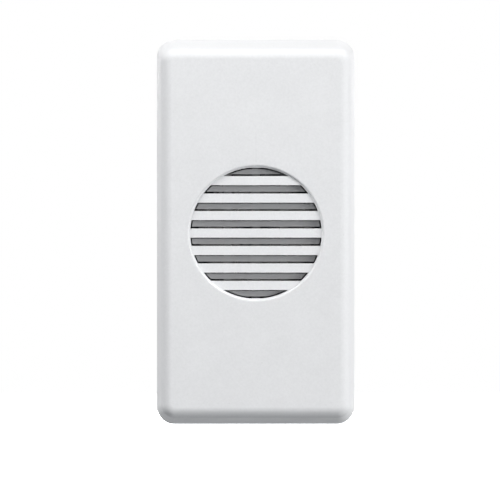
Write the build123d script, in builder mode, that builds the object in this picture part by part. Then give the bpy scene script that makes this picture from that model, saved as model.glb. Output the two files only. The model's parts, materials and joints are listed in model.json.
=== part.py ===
from build123d import *
import math
import os

os.makedirs("parts", exist_ok=True)

# Flush-mounting bell insert, one module wide. X is to the right seen from the room, Y runs into the wall
# and Z is up. The origin is the middle of the plane in which the cover's rear edge seats on its frame.

# Allowances shared by all pieces
cut_over = 1.0          # how far a cut runs past the material
drop_in_gap = 0.1       # each side of a piece that drops into a pocket
pressed_gap = 0.03      # radial, round a pressed or riveted shank
running_gap = 0.05      # radial, round the pivot pin and in the screw threads
thin_gap = 0.02         # between layers that lie on each other

# Front cover
cover_width = 22.5
cover_height = 43.8
cover_depth = 8.5
cover_corner = 2.0
side_draft = 0.6        # how far the left and right walls lean in over the depth
end_draft = 1.15        # how far the top and bottom walls lean in
cavity_draft = 0.5      # how far the walls' inner faces lean in
cover_edge = 1.2        # rounding of the front edge
cover_wall = 1.2
face_thickness = 1.8
seat_rebate = 0.5       # depth of the step that takes the housing's shoulder

# Round grille in the middle of the face
face_margin = 3.735     # from the recess to the sides of the cover
recess_depth = 0.3
recess_edge = 0.25      # rounding of the recess's rim
grille_margin = 0.1     # flat ring between the recess's wall and the slots
bar_pitch = 1.972
slot_height = 0.945

# Louvre behind the grille
baffle_rim = 0.9
baffle_lap = 1.1        # how far the louvre reaches past the slots
baffle_depth = 1.6
strip_gap = 0.16        # slit round each strip that stands in a slot
strip_lift = 0.05       # of the strips, which leaves the wider slit below them
strip_sink = 0.6        # from the bars' front to the strips
strip_root = 0.5        # of a strip behind the bars
baffle_rib_width = 0.9
baffle_rib_place = 3.2
baffle_ring_wall = 0.6
baffle_ring_depth = 2.0

# Rear housing
side_overhang = 0.65    # of the cover past the housing, left and right
end_overhang = 1.6      # of the cover past the housing, top and bottom
housing_wall = 1.4
housing_corner = 1.6
housing_round = 0.8
rear_wall = 1.6
lip_length = 2.5
lip_gap = 0.15
lip_step = 0.3          # of the lip behind the housing's top and bottom
lip_corner = 0.9

# Legs that hold the cover on the housing
leg_thickness = 0.9
leg_width = 5.0
leg_length = 6.0
leg_root = 2.5
leg_place = 12.0
leg_gap = 0.05
leg_side_gap = 0.2
leg_end_gap = 0.6
leg_window_width = 3.0
leg_window_length = 2.0
leg_bridge = 1.0
lug_gap = 0.1
lug_height = 0.7

# Catches at the top and bottom of the housing
frame_thickness = 2.0
catch_gap = 0.05
catch_height = 1.1
catch_land = 0.6
catch_length = 4.0
catch_width = 8.0

# Gong and what holds it
gong_gap = 0.7          # from the gong to the housing's side walls
gong_height = 5.2
gong_thickness = 0.8
gong_round = 2.4
gong_bore = 1.35
screw_clear = 0.8       # from the louvre to the gong's screw
gong_screw_head = 2.2
gong_screw_head_height = 0.9
gong_screw_shank = 1.2
gong_screw_length = 4.0
washer_radius = 1.9
washer_thickness = 0.4
post_radius = 2.0
post_spigot = 1.4
post_rivet = 2.2
post_rivet_height = 0.5

# Plate that carries the gong's post
rim_gap = 1.4           # from the gong's rim to the plate
plate_thickness = 1.5
plate_gap = 0.2
plate_corner = 1.0
plate_rib = 0.7
plate_rib_width = 0.9
plate_window_width = 4.0
plate_window_height = 7.0
plate_screw_head = 1.5
plate_screw_head_height = 1.0
plate_screw_shank = 0.78
plate_screw_length = 6.0
plate_hole = 0.95
portal_clear = 1.6      # beside the hammer
portal_leg = 2.5
portal_bar_extra = 0.2  # of its bar's thickness over the stop's height

# Corner bosses and side ledges that the plate sits on
boss_width = 3.4
boss_height = 3.3
ledge_width = 1.5
ledge_height = 4.5
ledge_depth = 3.3
ledge_top = 7.5
nub_width = 0.5
nub_depth = 1.1
nub_height = 2.5

# Hammer and armature
strike_gap = 0.9        # from the hammer at rest to the gong
hammer_radius = 2.0
hammer_length = 4.8
hammer_round = 0.4
arm_thickness = 0.6
arm_width = 3.0
arm_tip_width = 2.0
arm_sunk = 1.0          # from the hammer's middle to the arm's end
arm_lap = 7.6           # length of the arm that lies on the armature
armature_width = 9.0
armature_thickness = 1.5
armature_lead = 0.5     # from the coil's front edge to the armature's
armature_corner = 1.0
knuckle_radius = 1.4
tail_width = 4.6
tail_length = 3.9
rivet_radius = 0.75
rivet_head = 1.3
rivet_head_height = 0.4
rivet_pitch = 3.2
rivet_inset = 2.4

# Pivot
pivot_radius = 0.6
pivot_overhang = 0.9
ear_gap = 0.3
ear_width = 1.2
clip_thickness = 0.4
clip_radius = 1.4
clip_groove = 0.2
clip_mouth = 0.7

# Electromagnet
pole_gap = 0.6          # from the pole to the armature at rest
pole_stand = 1.0        # pole above the bobbin
core_radius = 2.5
core_spigot = 1.8
core_rivet = 0.5
bobbin_gap = 0.1
bobbin_wall = 0.8
flange_radius = 6.5
flange_thickness = 1.0
winding_inset = 0.5
tape_thickness = 0.15
pin_radius = 0.32
pin_out = 2.0
pin_sunk = 1.6
pin_place = 3.4
pin_clear = 0.8         # from the plate to the pins
yoke_thickness = 2.0
yoke_clear = 1.0        # from the coil to the yoke's upright
yoke_under_gap = 0.8
yoke_toe = 2.0          # foot in front of the core
yoke_shoulder = 0.3     # from the knuckle to the upright's top edge
yoke_bend = 1.0
yoke_base_width = 10.0
ear_top = 0.9           # ear above the pivot's hole

# Screw that holds the yoke
yoke_screw_share = 0.46 # of the way from the yoke's foot to the spring
yoke_screw_shank = 1.45
yoke_screw_head = 2.75
yoke_screw_head_height = 1.3
yoke_screw_well = 3.0
yoke_screw_sunk = 0.2
yoke_boss = 3.2
yoke_boss_length = 3.9

# Return spring behind the yoke
spring_length = 6.0
spring_radius = 1.0
spring_wire = 0.17
spring_turns = 5
spring_end = 0.8
spring_hook = 1.3
spring_stand = 1.9
spring_hole = 0.35
spring_tab_width = 4.4
spring_tab_length = 3.2
spring_tab_thickness = 1.0

# Rubber stop above the hammer's arm
stop_gap = 0.1
stop_radius = 1.5
stop_spigot = 0.8
stop_share = 0.25       # of the room above the arm
stop_stand = 1.8
stop_lug_width = 4.4
stop_lug_length = 3.5

# Terminals
cage_length = 6.2
cage_depth = 6.6
cage_wall = 0.8
cage_thread_wall = 1.6
cage_round = 0.5
shelf_thickness = 1.0
entry_radius = 1.65
entry_funnel = 0.4
bay_wall = 1.2
side_rib = 0.7
middle_rib = 3.8        # of the block, between the pockets
clamp_travel = 2.5
clamp_plate_thickness = 0.8
clamp_plate_gap = 0.2
clamp_plate_inset = 0.35
clamp_rest_gap = 0.05
clamp_bevel = 0.25
terminal_screw_shank = 1.45
terminal_head_inset = 0.35
terminal_screw_head_height = 1.6
terminal_screw_round = 0.3
head_stop_gap = 0.4
head_sunk = 0.9         # head at rest below the housing's rear face
well_gap = 0.3
lead_radius = 0.5
lead_hole_gap = 0.25
lead_bend = 3.0

# Cap over the terminals
cap_thickness = 1.6
cap_margin = 0.4
cap_rim = 0.45          # round the wells
cap_corner = 1.4
cap_edge = 0.4
cap_post_gap = 0.05

# Screwdriver recesses
recess_slot = 0.6
recess_sink = 0.5
slot_share = 1.25       # of a screw head's radius
head_round_share = 0.35 # of a screw head's height

# Places along Y, from the face to the rear
face_back = -(cover_depth - face_thickness)
baffle_back = face_back + baffle_depth
gong_screw_front = baffle_back + screw_clear
gong_front = gong_screw_front + gong_screw_head_height
gong_rim = gong_front + gong_height
gong_inside = gong_front + gong_thickness
post_front = gong_inside + washer_thickness
plate_front = gong_rim + rim_gap
plate_back = plate_front + plate_thickness
pin_front = plate_back + pin_clear
coil_front = pin_front + pin_out
coil_y = coil_front + flange_radius
yoke_front = coil_y + flange_radius + yoke_clear
yoke_back = yoke_front + yoke_thickness
pivot_y = yoke_front + yoke_thickness / 2
housing_inside = yoke_back + yoke_boss_length
housing_depth = housing_inside + rear_wall
screw_head_back = housing_depth - head_sunk
screw_head_front = screw_head_back - terminal_screw_head_height
cage_back = screw_head_front - clamp_travel - head_stop_gap
cage_front = cage_back - cage_depth
cage_thread_front = cage_back - cage_thread_wall
bay_front = cage_front - bay_wall
clamp_back = cage_thread_front - clamp_rest_gap
hammer_y = gong_rim - hammer_radius
stop_y = plate_back + stop_stand
armature_front = coil_front + armature_lead
spring_y = yoke_back + spring_stand

# Widths and heights of the shells
housing_width = cover_width - 2 * side_overhang
housing_height = cover_height - 2 * end_overhang
inner_width = housing_width - 2 * housing_wall
inner_height = housing_height - 2 * housing_wall
cavity_width = cover_width - 2 * cover_wall
lip_width = cavity_width - 2 * lip_gap
recess_radius = cover_width / 2 - face_margin
grille_radius = recess_radius - grille_margin
slot_count = 2 * round(grille_radius / bar_pitch)
baffle_radius = grille_radius + baffle_lap
baffle_ring_inside = baffle_radius + running_gap
gong_radius = inner_width / 2 - gong_gap

# Heights of the striking mechanism
arm_middle = gong_radius + strike_gap + hammer_radius
armature_top = arm_middle - arm_thickness / 2
armature_bottom = armature_top - armature_thickness
arm_top = armature_top + arm_thickness
pivot_z = armature_bottom + armature_thickness / 2
pole_z = armature_bottom - pole_gap
bobbin_top = pole_z - pole_stand
stop_bottom = arm_top + stop_gap
stop_height = (inner_height / 2 - arm_top) * stop_share
stop_top = stop_bottom + stop_height
portal_bar = stop_height + portal_bar_extra
yoke_top = pivot_z - knuckle_radius - yoke_shoulder
spring_bottom = armature_bottom - spring_length

# Heights of the terminals and of what stands above them
clamp_plate_length = cage_length - 2 * clamp_plate_inset
cage_z = -(inner_height / 2 - drop_in_gap - cage_length / 2)
bay_top = cage_z + cage_length / 2 + drop_in_gap + shelf_thickness
yoke_bottom = bay_top + yoke_under_gap
bobbin_bottom = yoke_bottom + yoke_thickness
yoke_screw_z = yoke_bottom + (spring_bottom - yoke_bottom) * yoke_screw_share
pin_z = bobbin_bottom + flange_thickness / 2
cage_width = inner_width / 2 - side_rib - 2 * drop_in_gap - middle_rib / 2
terminal_x = inner_width / 2 - side_rib - drop_in_gap - cage_width / 2
entry_y = cage_front + cage_wall + entry_radius
terminal_screw_head = min(cage_width, cage_length) / 2 - terminal_head_inset
well_radius = terminal_screw_head + well_gap
winding_inside = core_radius + bobbin_gap + bobbin_wall
winding_radius = flange_radius - winding_inset

sides = {"left": -1, "right": 1}


# Plane parallel to the wall at depth y, looking at the room: its own x and y are X and Z
def face_plane(y):
    return Plane.XZ.offset(-y)


# Crossed slots of the screw heads that stand at the given places of a plane
def cross_slots(plane, head_radius, places):
    with BuildSketch(plane, mode=Mode.PRIVATE) as slots:
        with Locations(*places):
            Rectangle(head_radius * slot_share, recess_slot)
            Rectangle(recess_slot, head_radius * slot_share)
    return slots.sketch


# Front cover: a shallow box with leaning walls, a round recessed grille and four legs with windows
cavity_angle = math.degrees(math.atan2(cavity_draft, cover_depth))
leg_outside = housing_width / 2
leg_inside = leg_outside - leg_thickness
leg_span = leg_root + leg_length
leg_middle = leg_length - leg_span / 2
window_middle = leg_length - leg_bridge - leg_window_length / 2

with BuildPart() as front_cover:
    with BuildSketch(face_plane(0)):
        RectangleRounded(cover_width, cover_height, cover_corner)
    with BuildSketch(face_plane(-cover_depth)):
        RectangleRounded(
            cover_width - 2 * side_draft,
            cover_height - 2 * end_draft,
            cover_corner - side_draft,
        )
    loft()
    fillet(front_cover.faces().sort_by(Axis.Y)[0].edges(), cover_edge)
    with BuildSketch(face_plane(0)):
        RectangleRounded(cavity_width, cover_height - 2 * cover_wall, cover_corner - cover_wall)
    extrude(amount=cover_depth - face_thickness, taper=cavity_angle, mode=Mode.SUBTRACT)
    with BuildSketch(face_plane(0)):
        RectangleRounded(
            housing_width + 2 * drop_in_gap,
            cover_height - 2 * cover_wall,
            cover_corner - cover_wall,
        )
    extrude(amount=seat_rebate, mode=Mode.SUBTRACT)
    with BuildSketch(face_plane(face_back + baffle_ring_depth)):
        Circle(baffle_ring_inside + baffle_ring_wall)
        Circle(baffle_ring_inside, mode=Mode.SUBTRACT)
    extrude(amount=baffle_ring_depth)
    with BuildSketch(face_plane(-cover_depth)):
        Circle(recess_radius)
    extrude(amount=-recess_depth, mode=Mode.SUBTRACT)
    round_edges = front_cover.edges().filter_by(GeomType.CIRCLE)
    wide_edges = round_edges.filter_by(lambda edge: edge.radius > grille_radius)
    fillet(wide_edges.sort_by(Axis.Y)[0], recess_edge)
    with BuildSketch(face_plane(face_back + cut_over)):
        with GridLocations(0, bar_pitch, 1, slot_count):
            Rectangle(2 * recess_radius, slot_height)
        Circle(grille_radius, mode=Mode.INTERSECT)
    extrude(amount=face_thickness + 2 * cut_over, mode=Mode.SUBTRACT)
    for side in sides.values():
        with BuildSketch(Plane.YZ.offset(side * leg_inside)):
            with Locations((leg_middle, leg_place), (leg_middle, -leg_place)):
                Rectangle(leg_span, leg_width)
            with Locations((window_middle, leg_place), (window_middle, -leg_place)):
                Rectangle(leg_window_length, leg_window_width, mode=Mode.SUBTRACT)
        extrude(amount=side * leg_thickness)
front_cover.part.label = "front_cover"
export_step(front_cover.part, "parts/front_cover.step")


# Louvre behind the grille: a rim with upright ribs that carry one strip for each slot
strip_front = recess_depth + strip_sink - cover_depth

with BuildPart() as sound_baffle:
    with BuildSketch(face_plane(face_back + strip_root)):
        with Locations((0, strip_lift)):
            with GridLocations(0, bar_pitch, 1, slot_count):
                Rectangle(2 * recess_radius, slot_height - 2 * strip_gap)
        Circle(grille_radius - strip_gap, mode=Mode.INTERSECT)
    extrude(amount=face_back + strip_root - strip_front)
    with BuildSketch(face_plane(baffle_back)):
        with Locations((-baffle_rib_place, 0), (0, 0), (baffle_rib_place, 0)):
            Rectangle(baffle_rib_width, 2 * baffle_radius)
        Circle(baffle_radius, mode=Mode.INTERSECT)
    extrude(amount=baffle_depth)
    with BuildSketch(face_plane(baffle_back)):
        Circle(baffle_radius)
        Circle(baffle_radius - baffle_rim, mode=Mode.SUBTRACT)
    extrude(amount=baffle_depth)
sound_baffle.part.label = "sound_baffle"
export_step(sound_baffle.part, "parts/sound_baffle.step")


# Rear housing: a deep box that is open to the front, with an opening for the terminals low in its rear wall
channel_floor = leg_inside - leg_gap
channel_end = leg_length + leg_end_gap
channel_start = -(lip_length + cut_over)
lug_back = leg_length - leg_bridge - lug_gap
lug_front = lug_back - leg_window_length + 2 * lug_gap
boss_x = inner_width / 2 - boss_width / 2
boss_z = -(inner_height / 2 - boss_height / 2)
catch_start = frame_thickness + catch_gap
plate_width = inner_width - 2 * plate_gap

with BuildPart() as rear_housing:
    with BuildSketch(face_plane(housing_depth)):
        RectangleRounded(housing_width, housing_height, housing_corner)
    extrude(amount=housing_depth + seat_rebate)
    fillet(rear_housing.faces().sort_by(Axis.Y)[-1].edges(), housing_round)
    with BuildSketch(face_plane(-seat_rebate)):
        RectangleRounded(lip_width, housing_height - 2 * lip_step, lip_corner)
    extrude(amount=lip_length - seat_rebate)
    with BuildSketch(face_plane(housing_inside)):
        Rectangle(inner_width, inner_height)
    extrude(amount=housing_inside + lip_length + cut_over, mode=Mode.SUBTRACT)
    with BuildSketch(face_plane(housing_depth + cut_over)):
        with Locations((0, -inner_height / 2)):
            Rectangle(
                inner_width,
                bay_top + drop_in_gap + inner_height / 2,
                align=(Align.CENTER, Align.MIN),
            )
    extrude(amount=rear_wall + 2 * cut_over, mode=Mode.SUBTRACT)
    # Corner bosses under the plate, then side ledges behind it and nubs in front of it
    with BuildSketch(face_plane(bay_front)):
        with Locations((boss_x, boss_z), (-boss_x, boss_z)):
            Rectangle(boss_width, boss_height)
    extrude(amount=bay_front - plate_back)
    for side in sides.values():
        with BuildSketch(face_plane(plate_back + ledge_depth)):
            with Locations((side * (inner_width / 2 - ledge_width / 2), ledge_top - ledge_height / 2)):
                Rectangle(ledge_width, ledge_height)
        extrude(amount=ledge_depth)
        with BuildSketch(face_plane(plate_front - thin_gap)):
            with Locations((side * (inner_width / 2 - nub_width / 2), ledge_top - ledge_height / 2)):
                Rectangle(nub_width, nub_height)
        extrude(amount=nub_depth)
    # Boss for the yoke's screw
    with BuildSketch(face_plane(housing_inside + rear_wall / 2)):
        with Locations((0, yoke_screw_z)):
            Circle(yoke_boss)
    extrude(amount=rear_wall / 2 + yoke_boss_length)
    with BuildSketch(face_plane(housing_depth + cut_over)):
        with Locations((0, yoke_screw_z)):
            Circle(yoke_screw_shank + running_gap)
    extrude(amount=housing_depth - yoke_back + 2 * cut_over, mode=Mode.SUBTRACT)
    with BuildSketch(face_plane(housing_depth + cut_over)):
        with Locations((0, yoke_screw_z)):
            Circle(yoke_screw_well)
    extrude(amount=cut_over + yoke_screw_head_height + yoke_screw_sunk, mode=Mode.SUBTRACT)
    # Wire entries in the lower end, each with a small funnel
    with BuildSketch(Plane.XY.offset(-housing_height / 2 - cut_over)):
        with Locations((terminal_x, entry_y), (-terminal_x, entry_y)):
            Circle(entry_radius)
    extrude(amount=housing_wall + 2 * cut_over, mode=Mode.SUBTRACT)
    lower_end = rear_housing.faces().sort_by(Axis.Z)[0]
    chamfer(lower_end.edges().filter_by(GeomType.CIRCLE), entry_funnel)
    # Pilot holes for the plate's screws
    with BuildSketch(face_plane(plate_back + plate_screw_length)):
        with Locations((boss_x, boss_z), (-boss_x, boss_z)):
            Circle(plate_screw_shank + pressed_gap)
    extrude(amount=plate_screw_length + cut_over, mode=Mode.SUBTRACT)
    # Channels for the cover's legs, with a lug in each window
    for side in sides.values():
        with BuildSketch(Plane.YZ.offset(side * channel_floor)):
            with Locations((channel_start, leg_place), (channel_start, -leg_place)):
                Rectangle(
                    channel_end - channel_start,
                    leg_width + 2 * leg_side_gap,
                    align=(Align.MIN, Align.CENTER),
                )
        extrude(amount=side * (housing_width / 2 - channel_floor + cut_over), mode=Mode.SUBTRACT)
        with BuildSketch(Plane.XY.offset(-leg_window_width / 2 + lug_gap)) as lug:
            with BuildLine():
                Polyline(
                    (side * (channel_floor - lug_height / 2), lug_front),
                    (side * channel_floor, lug_front),
                    (side * (channel_floor + lug_height), lug_back),
                    (side * (channel_floor - lug_height / 2), lug_back),
                    close=True,
                )
            make_face()
        for place in (leg_place, -leg_place):
            extrude(lug.sketch.moved(Pos(0, 0, place)), amount=leg_window_width - 2 * lug_gap)
    # Catch ramps that hold the insert in its frame
    for end in (1, -1):
        with BuildSketch(Plane.YZ):
            with BuildLine():
                Polyline(
                    (catch_start, end * (housing_height / 2 - housing_wall / 2)),
                    (catch_start, end * (housing_height / 2 + catch_height)),
                    (catch_start + catch_land, end * (housing_height / 2 + catch_height)),
                    (catch_start + catch_length, end * housing_height / 2),
                    (catch_start + catch_length, end * (housing_height / 2 - housing_wall / 2)),
                    close=True,
                )
            make_face()
        extrude(amount=catch_width / 2, both=True)
rear_housing.part.label = "rear_housing"
export_step(rear_housing.part, "parts/rear_housing.step")


# Terminal block: slid into the housing from the rear against the corner bosses, with a pocket for each
# terminal that is open to the rear and below
block_bottom = -inner_height / 2 + drop_in_gap
pocket_top = cage_z + cage_length / 2 + drop_in_gap

with BuildPart() as terminal_block:
    with BuildSketch(face_plane(housing_depth)):
        with Locations((0, block_bottom)):
            Rectangle(
                inner_width - 2 * drop_in_gap,
                bay_top - block_bottom,
                align=(Align.CENTER, Align.MIN),
            )
    extrude(amount=housing_depth - bay_front)
    with BuildSketch(face_plane(housing_depth + cut_over)):
        with Locations((terminal_x, pocket_top), (-terminal_x, pocket_top)):
            Rectangle(
                cage_width + 2 * drop_in_gap,
                pocket_top - block_bottom + cut_over,
                align=(Align.CENTER, Align.MAX),
            )
    extrude(amount=housing_depth + cut_over - cage_front, mode=Mode.SUBTRACT)
    # Hole for each lead in the wall in front of the terminals
    with BuildSketch(face_plane(cage_front + cut_over)):
        with Locations((pin_place, cage_z), (-pin_place, cage_z)):
            Circle(lead_radius + lead_hole_gap)
    extrude(amount=bay_wall + 2 * cut_over, mode=Mode.SUBTRACT)
terminal_block.part.label = "terminal_block"
export_step(terminal_block.part, "parts/terminal_block.step")


# Cap over the terminals: a plate with two screwdriver wells and posts that keep the cages in their pockets
cap_width = inner_width + 2 * cap_margin
cap_low = cage_z - well_radius - cap_rim
cap_high = bay_top + cap_margin
cap_post_length = housing_depth - cage_back - cap_post_gap
cap_post_bore = terminal_screw_head + 2 * well_gap

with BuildPart() as terminal_cap:
    with BuildSketch(face_plane(housing_depth + cap_thickness)):
        with Locations((0, (cap_low + cap_high) / 2)):
            RectangleRounded(cap_width, cap_high - cap_low, cap_corner)
    extrude(amount=cap_thickness)
    chamfer(terminal_cap.faces().sort_by(Axis.Y)[-1].edges(), cap_edge)
    with BuildSketch(face_plane(housing_depth)):
        with Locations((terminal_x, cage_z), (-terminal_x, cage_z)):
            Rectangle(cage_width, cage_length)
            Circle(cap_post_bore, mode=Mode.SUBTRACT)
    extrude(amount=cap_post_length)
    with BuildSketch(face_plane(housing_depth + cap_thickness + cut_over)):
        with Locations((terminal_x, cage_z), (-terminal_x, cage_z)):
            Circle(well_radius)
    extrude(amount=cap_thickness + 2 * cut_over, mode=Mode.SUBTRACT)
terminal_cap.part.label = "terminal_cap"
export_step(terminal_cap.part, "parts/terminal_cap.step")


# Plate across the housing that carries the gong, with a portal above it for the hammer's stop
plate_top = bobbin_top
plate_bottom = -inner_height / 2 + plate_gap
plate_middle = (plate_top + plate_bottom) / 2
plate_window_x = plate_width / 4
plate_window_z = plate_bottom / 2
portal_inside = hammer_length + 2 * portal_clear
portal_top = stop_top + portal_bar

with BuildPart() as inner_frame:
    with BuildSketch(face_plane(plate_back)):
        with Locations((0, plate_middle)):
            RectangleRounded(plate_width, plate_top - plate_bottom, plate_corner)
        with Locations((plate_window_x, plate_window_z), (-plate_window_x, plate_window_z)):
            RectangleRounded(plate_window_width, plate_window_height, plate_corner, mode=Mode.SUBTRACT)
        with Locations((boss_x, boss_z), (-boss_x, boss_z)):
            Circle(plate_hole, mode=Mode.SUBTRACT)
    extrude(amount=plate_thickness)
    # Stiffening frame round each window and a pad behind the post
    with BuildSketch(face_plane(plate_front)):
        with Locations((plate_window_x, plate_window_z), (-plate_window_x, plate_window_z)):
            RectangleRounded(
                plate_window_width + 2 * plate_rib_width,
                plate_window_height + 2 * plate_rib_width,
                plate_corner + plate_rib_width,
            )
            RectangleRounded(plate_window_width, plate_window_height, plate_corner, mode=Mode.SUBTRACT)
    extrude(amount=plate_rib)
    with BuildSketch(face_plane(plate_back + cut_over)):
        Circle(post_spigot + pressed_gap)
    extrude(amount=plate_thickness + 2 * cut_over, mode=Mode.SUBTRACT)
    # Portal that the hammer's arm passes through, with a lug behind its bar for the rubber stop
    with BuildSketch(face_plane(plate_back)):
        with Locations((0, portal_top)):
            Rectangle(
                portal_inside + 2 * portal_leg,
                portal_top - plate_top + plate_corner,
                align=(Align.CENTER, Align.MAX),
            )
        with Locations((0, stop_top)):
            Rectangle(
                portal_inside,
                stop_top - plate_top,
                align=(Align.CENTER, Align.MAX),
                mode=Mode.SUBTRACT,
            )
    extrude(amount=plate_thickness)
    with BuildSketch(Plane.XY.offset(stop_top)):
        with Locations((0, plate_back - plate_thickness / 2)):
            Rectangle(
                stop_lug_width,
                stop_lug_length + plate_thickness / 2,
                align=(Align.CENTER, Align.MIN),
            )
    extrude(amount=portal_bar)
    with BuildSketch(Plane.XY.offset(stop_top - cut_over)):
        with Locations((0, stop_y)):
            Circle(stop_spigot + pressed_gap)
    extrude(amount=portal_bar + 2 * cut_over, mode=Mode.SUBTRACT)
inner_frame.part.label = "inner_frame"
export_step(inner_frame.part, "parts/inner_frame.step")


# Two screws that hold the plate on the housing's corner bosses
plate_screw_places = ((boss_x, boss_z), (-boss_x, boss_z))
plate_screw_front = plate_front - plate_screw_head_height

with BuildPart() as frame_screws:
    with BuildSketch(face_plane(plate_front)):
        with Locations(*plate_screw_places):
            Circle(plate_screw_head)
    extrude(amount=plate_screw_head_height)
    fillet(
        frame_screws.edges().filter_by(GeomType.CIRCLE).group_by(Axis.Y)[0],
        plate_screw_head_height * head_round_share,
    )
    with BuildSketch(face_plane(plate_back + plate_screw_length - drop_in_gap)):
        with Locations(*plate_screw_places):
            Circle(plate_screw_shank)
    extrude(amount=plate_thickness + plate_screw_length - drop_in_gap)
    slots = cross_slots(face_plane(plate_screw_front), plate_screw_head, plate_screw_places)
    extrude(slots, amount=-recess_sink, mode=Mode.SUBTRACT)
frame_screws.part.label = "frame_screws"
export_step(frame_screws.part, "parts/frame_screws.step")


# Gong: a cup with a rounded crown, open to the rear
with BuildPart() as gong:
    with BuildSketch(face_plane(gong_rim)):
        Circle(gong_radius)
    extrude(amount=gong_height)
    fillet(gong.faces().sort_by(Axis.Y)[0].edges(), gong_round)
    offset(amount=-gong_thickness, openings=gong.faces().sort_by(Axis.Y)[-1])
    with BuildSketch(face_plane(gong_rim)):
        Circle(gong_bore)
    extrude(amount=gong_height + cut_over, mode=Mode.SUBTRACT)
gong.part.label = "gong"
export_step(gong.part, "parts/gong.step")


# Post that carries the gong, riveted through the plate
with BuildPart() as gong_post:
    with BuildSketch(face_plane(plate_front)):
        Circle(post_radius)
    extrude(amount=plate_front - post_front)
    with BuildSketch(face_plane(plate_back)):
        Circle(post_spigot)
    extrude(amount=plate_thickness)
    with BuildSketch(face_plane(plate_back + post_rivet_height)):
        Circle(post_rivet)
    extrude(amount=post_rivet_height)
    fillet(
        gong_post.edges().filter_by(GeomType.CIRCLE).sort_by(Axis.Y)[-1],
        post_rivet_height * head_round_share,
    )
    with BuildSketch(face_plane(post_front + gong_screw_length)):
        Circle(gong_screw_shank + pressed_gap)
    extrude(amount=gong_screw_length + cut_over, mode=Mode.SUBTRACT)
gong_post.part.label = "gong_post"
export_step(gong_post.part, "parts/gong_post.step")


# Fibre washer between the post and the gong
with BuildPart() as gong_washer:
    with BuildSketch(face_plane(post_front)):
        Circle(washer_radius)
        Circle(gong_bore, mode=Mode.SUBTRACT)
    extrude(amount=washer_thickness)
gong_washer.part.label = "gong_washer"
export_step(gong_washer.part, "parts/gong_washer.step")


# Screw in the middle of the gong
with BuildPart() as gong_screw:
    with BuildSketch(face_plane(gong_front)):
        Circle(gong_screw_head)
    extrude(amount=gong_screw_head_height)
    fillet(
        gong_screw.edges().sort_by(Axis.Y)[0],
        gong_screw_head_height * head_round_share,
    )
    with BuildSketch(face_plane(post_front + gong_screw_length - drop_in_gap)):
        Circle(gong_screw_shank)
    extrude(amount=post_front + gong_screw_length - drop_in_gap - gong_front)
    slots = cross_slots(face_plane(gong_screw_front), gong_screw_head, [(0, 0)])
    extrude(slots, amount=-recess_sink, mode=Mode.SUBTRACT)
gong_screw.part.label = "gong_screw"
export_step(gong_screw.part, "parts/gong_screw.step")


# Yoke of the magnet: a bent strip with a foot under the coil, an upright behind it and two ears for the pivot
ear_inside = armature_width / 2 + ear_gap
ear_outside = ear_inside + ear_width
yoke_toe_y = coil_y - core_radius - yoke_toe
spring_place = spring_radius

with BuildPart() as magnet_yoke:
    with BuildSketch(Plane.YZ):
        with BuildLine():
            Polyline(
                (yoke_toe_y, yoke_bottom),
                (yoke_back, yoke_bottom),
                (yoke_back, yoke_top),
                (yoke_front, yoke_top),
                (yoke_front, yoke_bottom + yoke_thickness),
                (yoke_toe_y, yoke_bottom + yoke_thickness),
                close=True,
            )
        make_face()
    extrude(amount=yoke_base_width / 2, both=True)
    outer_bend = magnet_yoke.edges().filter_by(Axis.X).group_by(Axis.Z)[0].sort_by(Axis.Y)[-1]
    fillet(outer_bend, yoke_bend)
    with BuildSketch(face_plane(yoke_back)):
        for side in sides.values():
            with Locations((side * (ear_inside + ear_outside) / 2, 0)):
                with Locations((0, (yoke_screw_z + pivot_z + pivot_radius + ear_top) / 2)):
                    Rectangle(ear_width, pivot_z + pivot_radius + ear_top - yoke_screw_z)
        with Locations((0, (yoke_screw_z + yoke_top) / 2)):
            Rectangle(2 * ear_outside, yoke_top - yoke_screw_z)
    extrude(amount=yoke_thickness)
    # Tab that takes the lower hook of the return spring
    with BuildSketch(Plane.XY.offset(spring_bottom - spring_tab_thickness)):
        with Locations((0, yoke_back - yoke_thickness / 2)):
            Rectangle(
                spring_tab_width,
                spring_tab_length + yoke_thickness / 2,
                align=(Align.CENTER, Align.MIN),
            )
    extrude(amount=spring_tab_thickness)
    # Holes for the pivot pin, the core, the fixing screw and the spring
    with BuildSketch(Plane.YZ.offset(-ear_outside - cut_over)):
        with Locations((pivot_y, pivot_z)):
            Circle(pivot_radius + thin_gap)
    extrude(amount=2 * (ear_outside + cut_over), mode=Mode.SUBTRACT)
    with BuildSketch(Plane.XY.offset(yoke_bottom - cut_over)):
        with Locations((0, coil_y)):
            Circle(core_spigot + pressed_gap)
    extrude(amount=yoke_thickness + 2 * cut_over, mode=Mode.SUBTRACT)
    with BuildSketch(face_plane(yoke_back + cut_over)):
        with Locations((0, yoke_screw_z)):
            Circle(yoke_screw_shank + running_gap)
    extrude(amount=yoke_thickness + 2 * cut_over, mode=Mode.SUBTRACT)
    with BuildSketch(Plane.XY.offset(spring_bottom - spring_tab_thickness - cut_over)):
        with Locations((spring_place, spring_y)):
            Circle(spring_hole)
    extrude(amount=spring_tab_thickness + 2 * cut_over, mode=Mode.SUBTRACT)
magnet_yoke.part.label = "magnet_yoke"
export_step(magnet_yoke.part, "parts/magnet_yoke.step")


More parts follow.
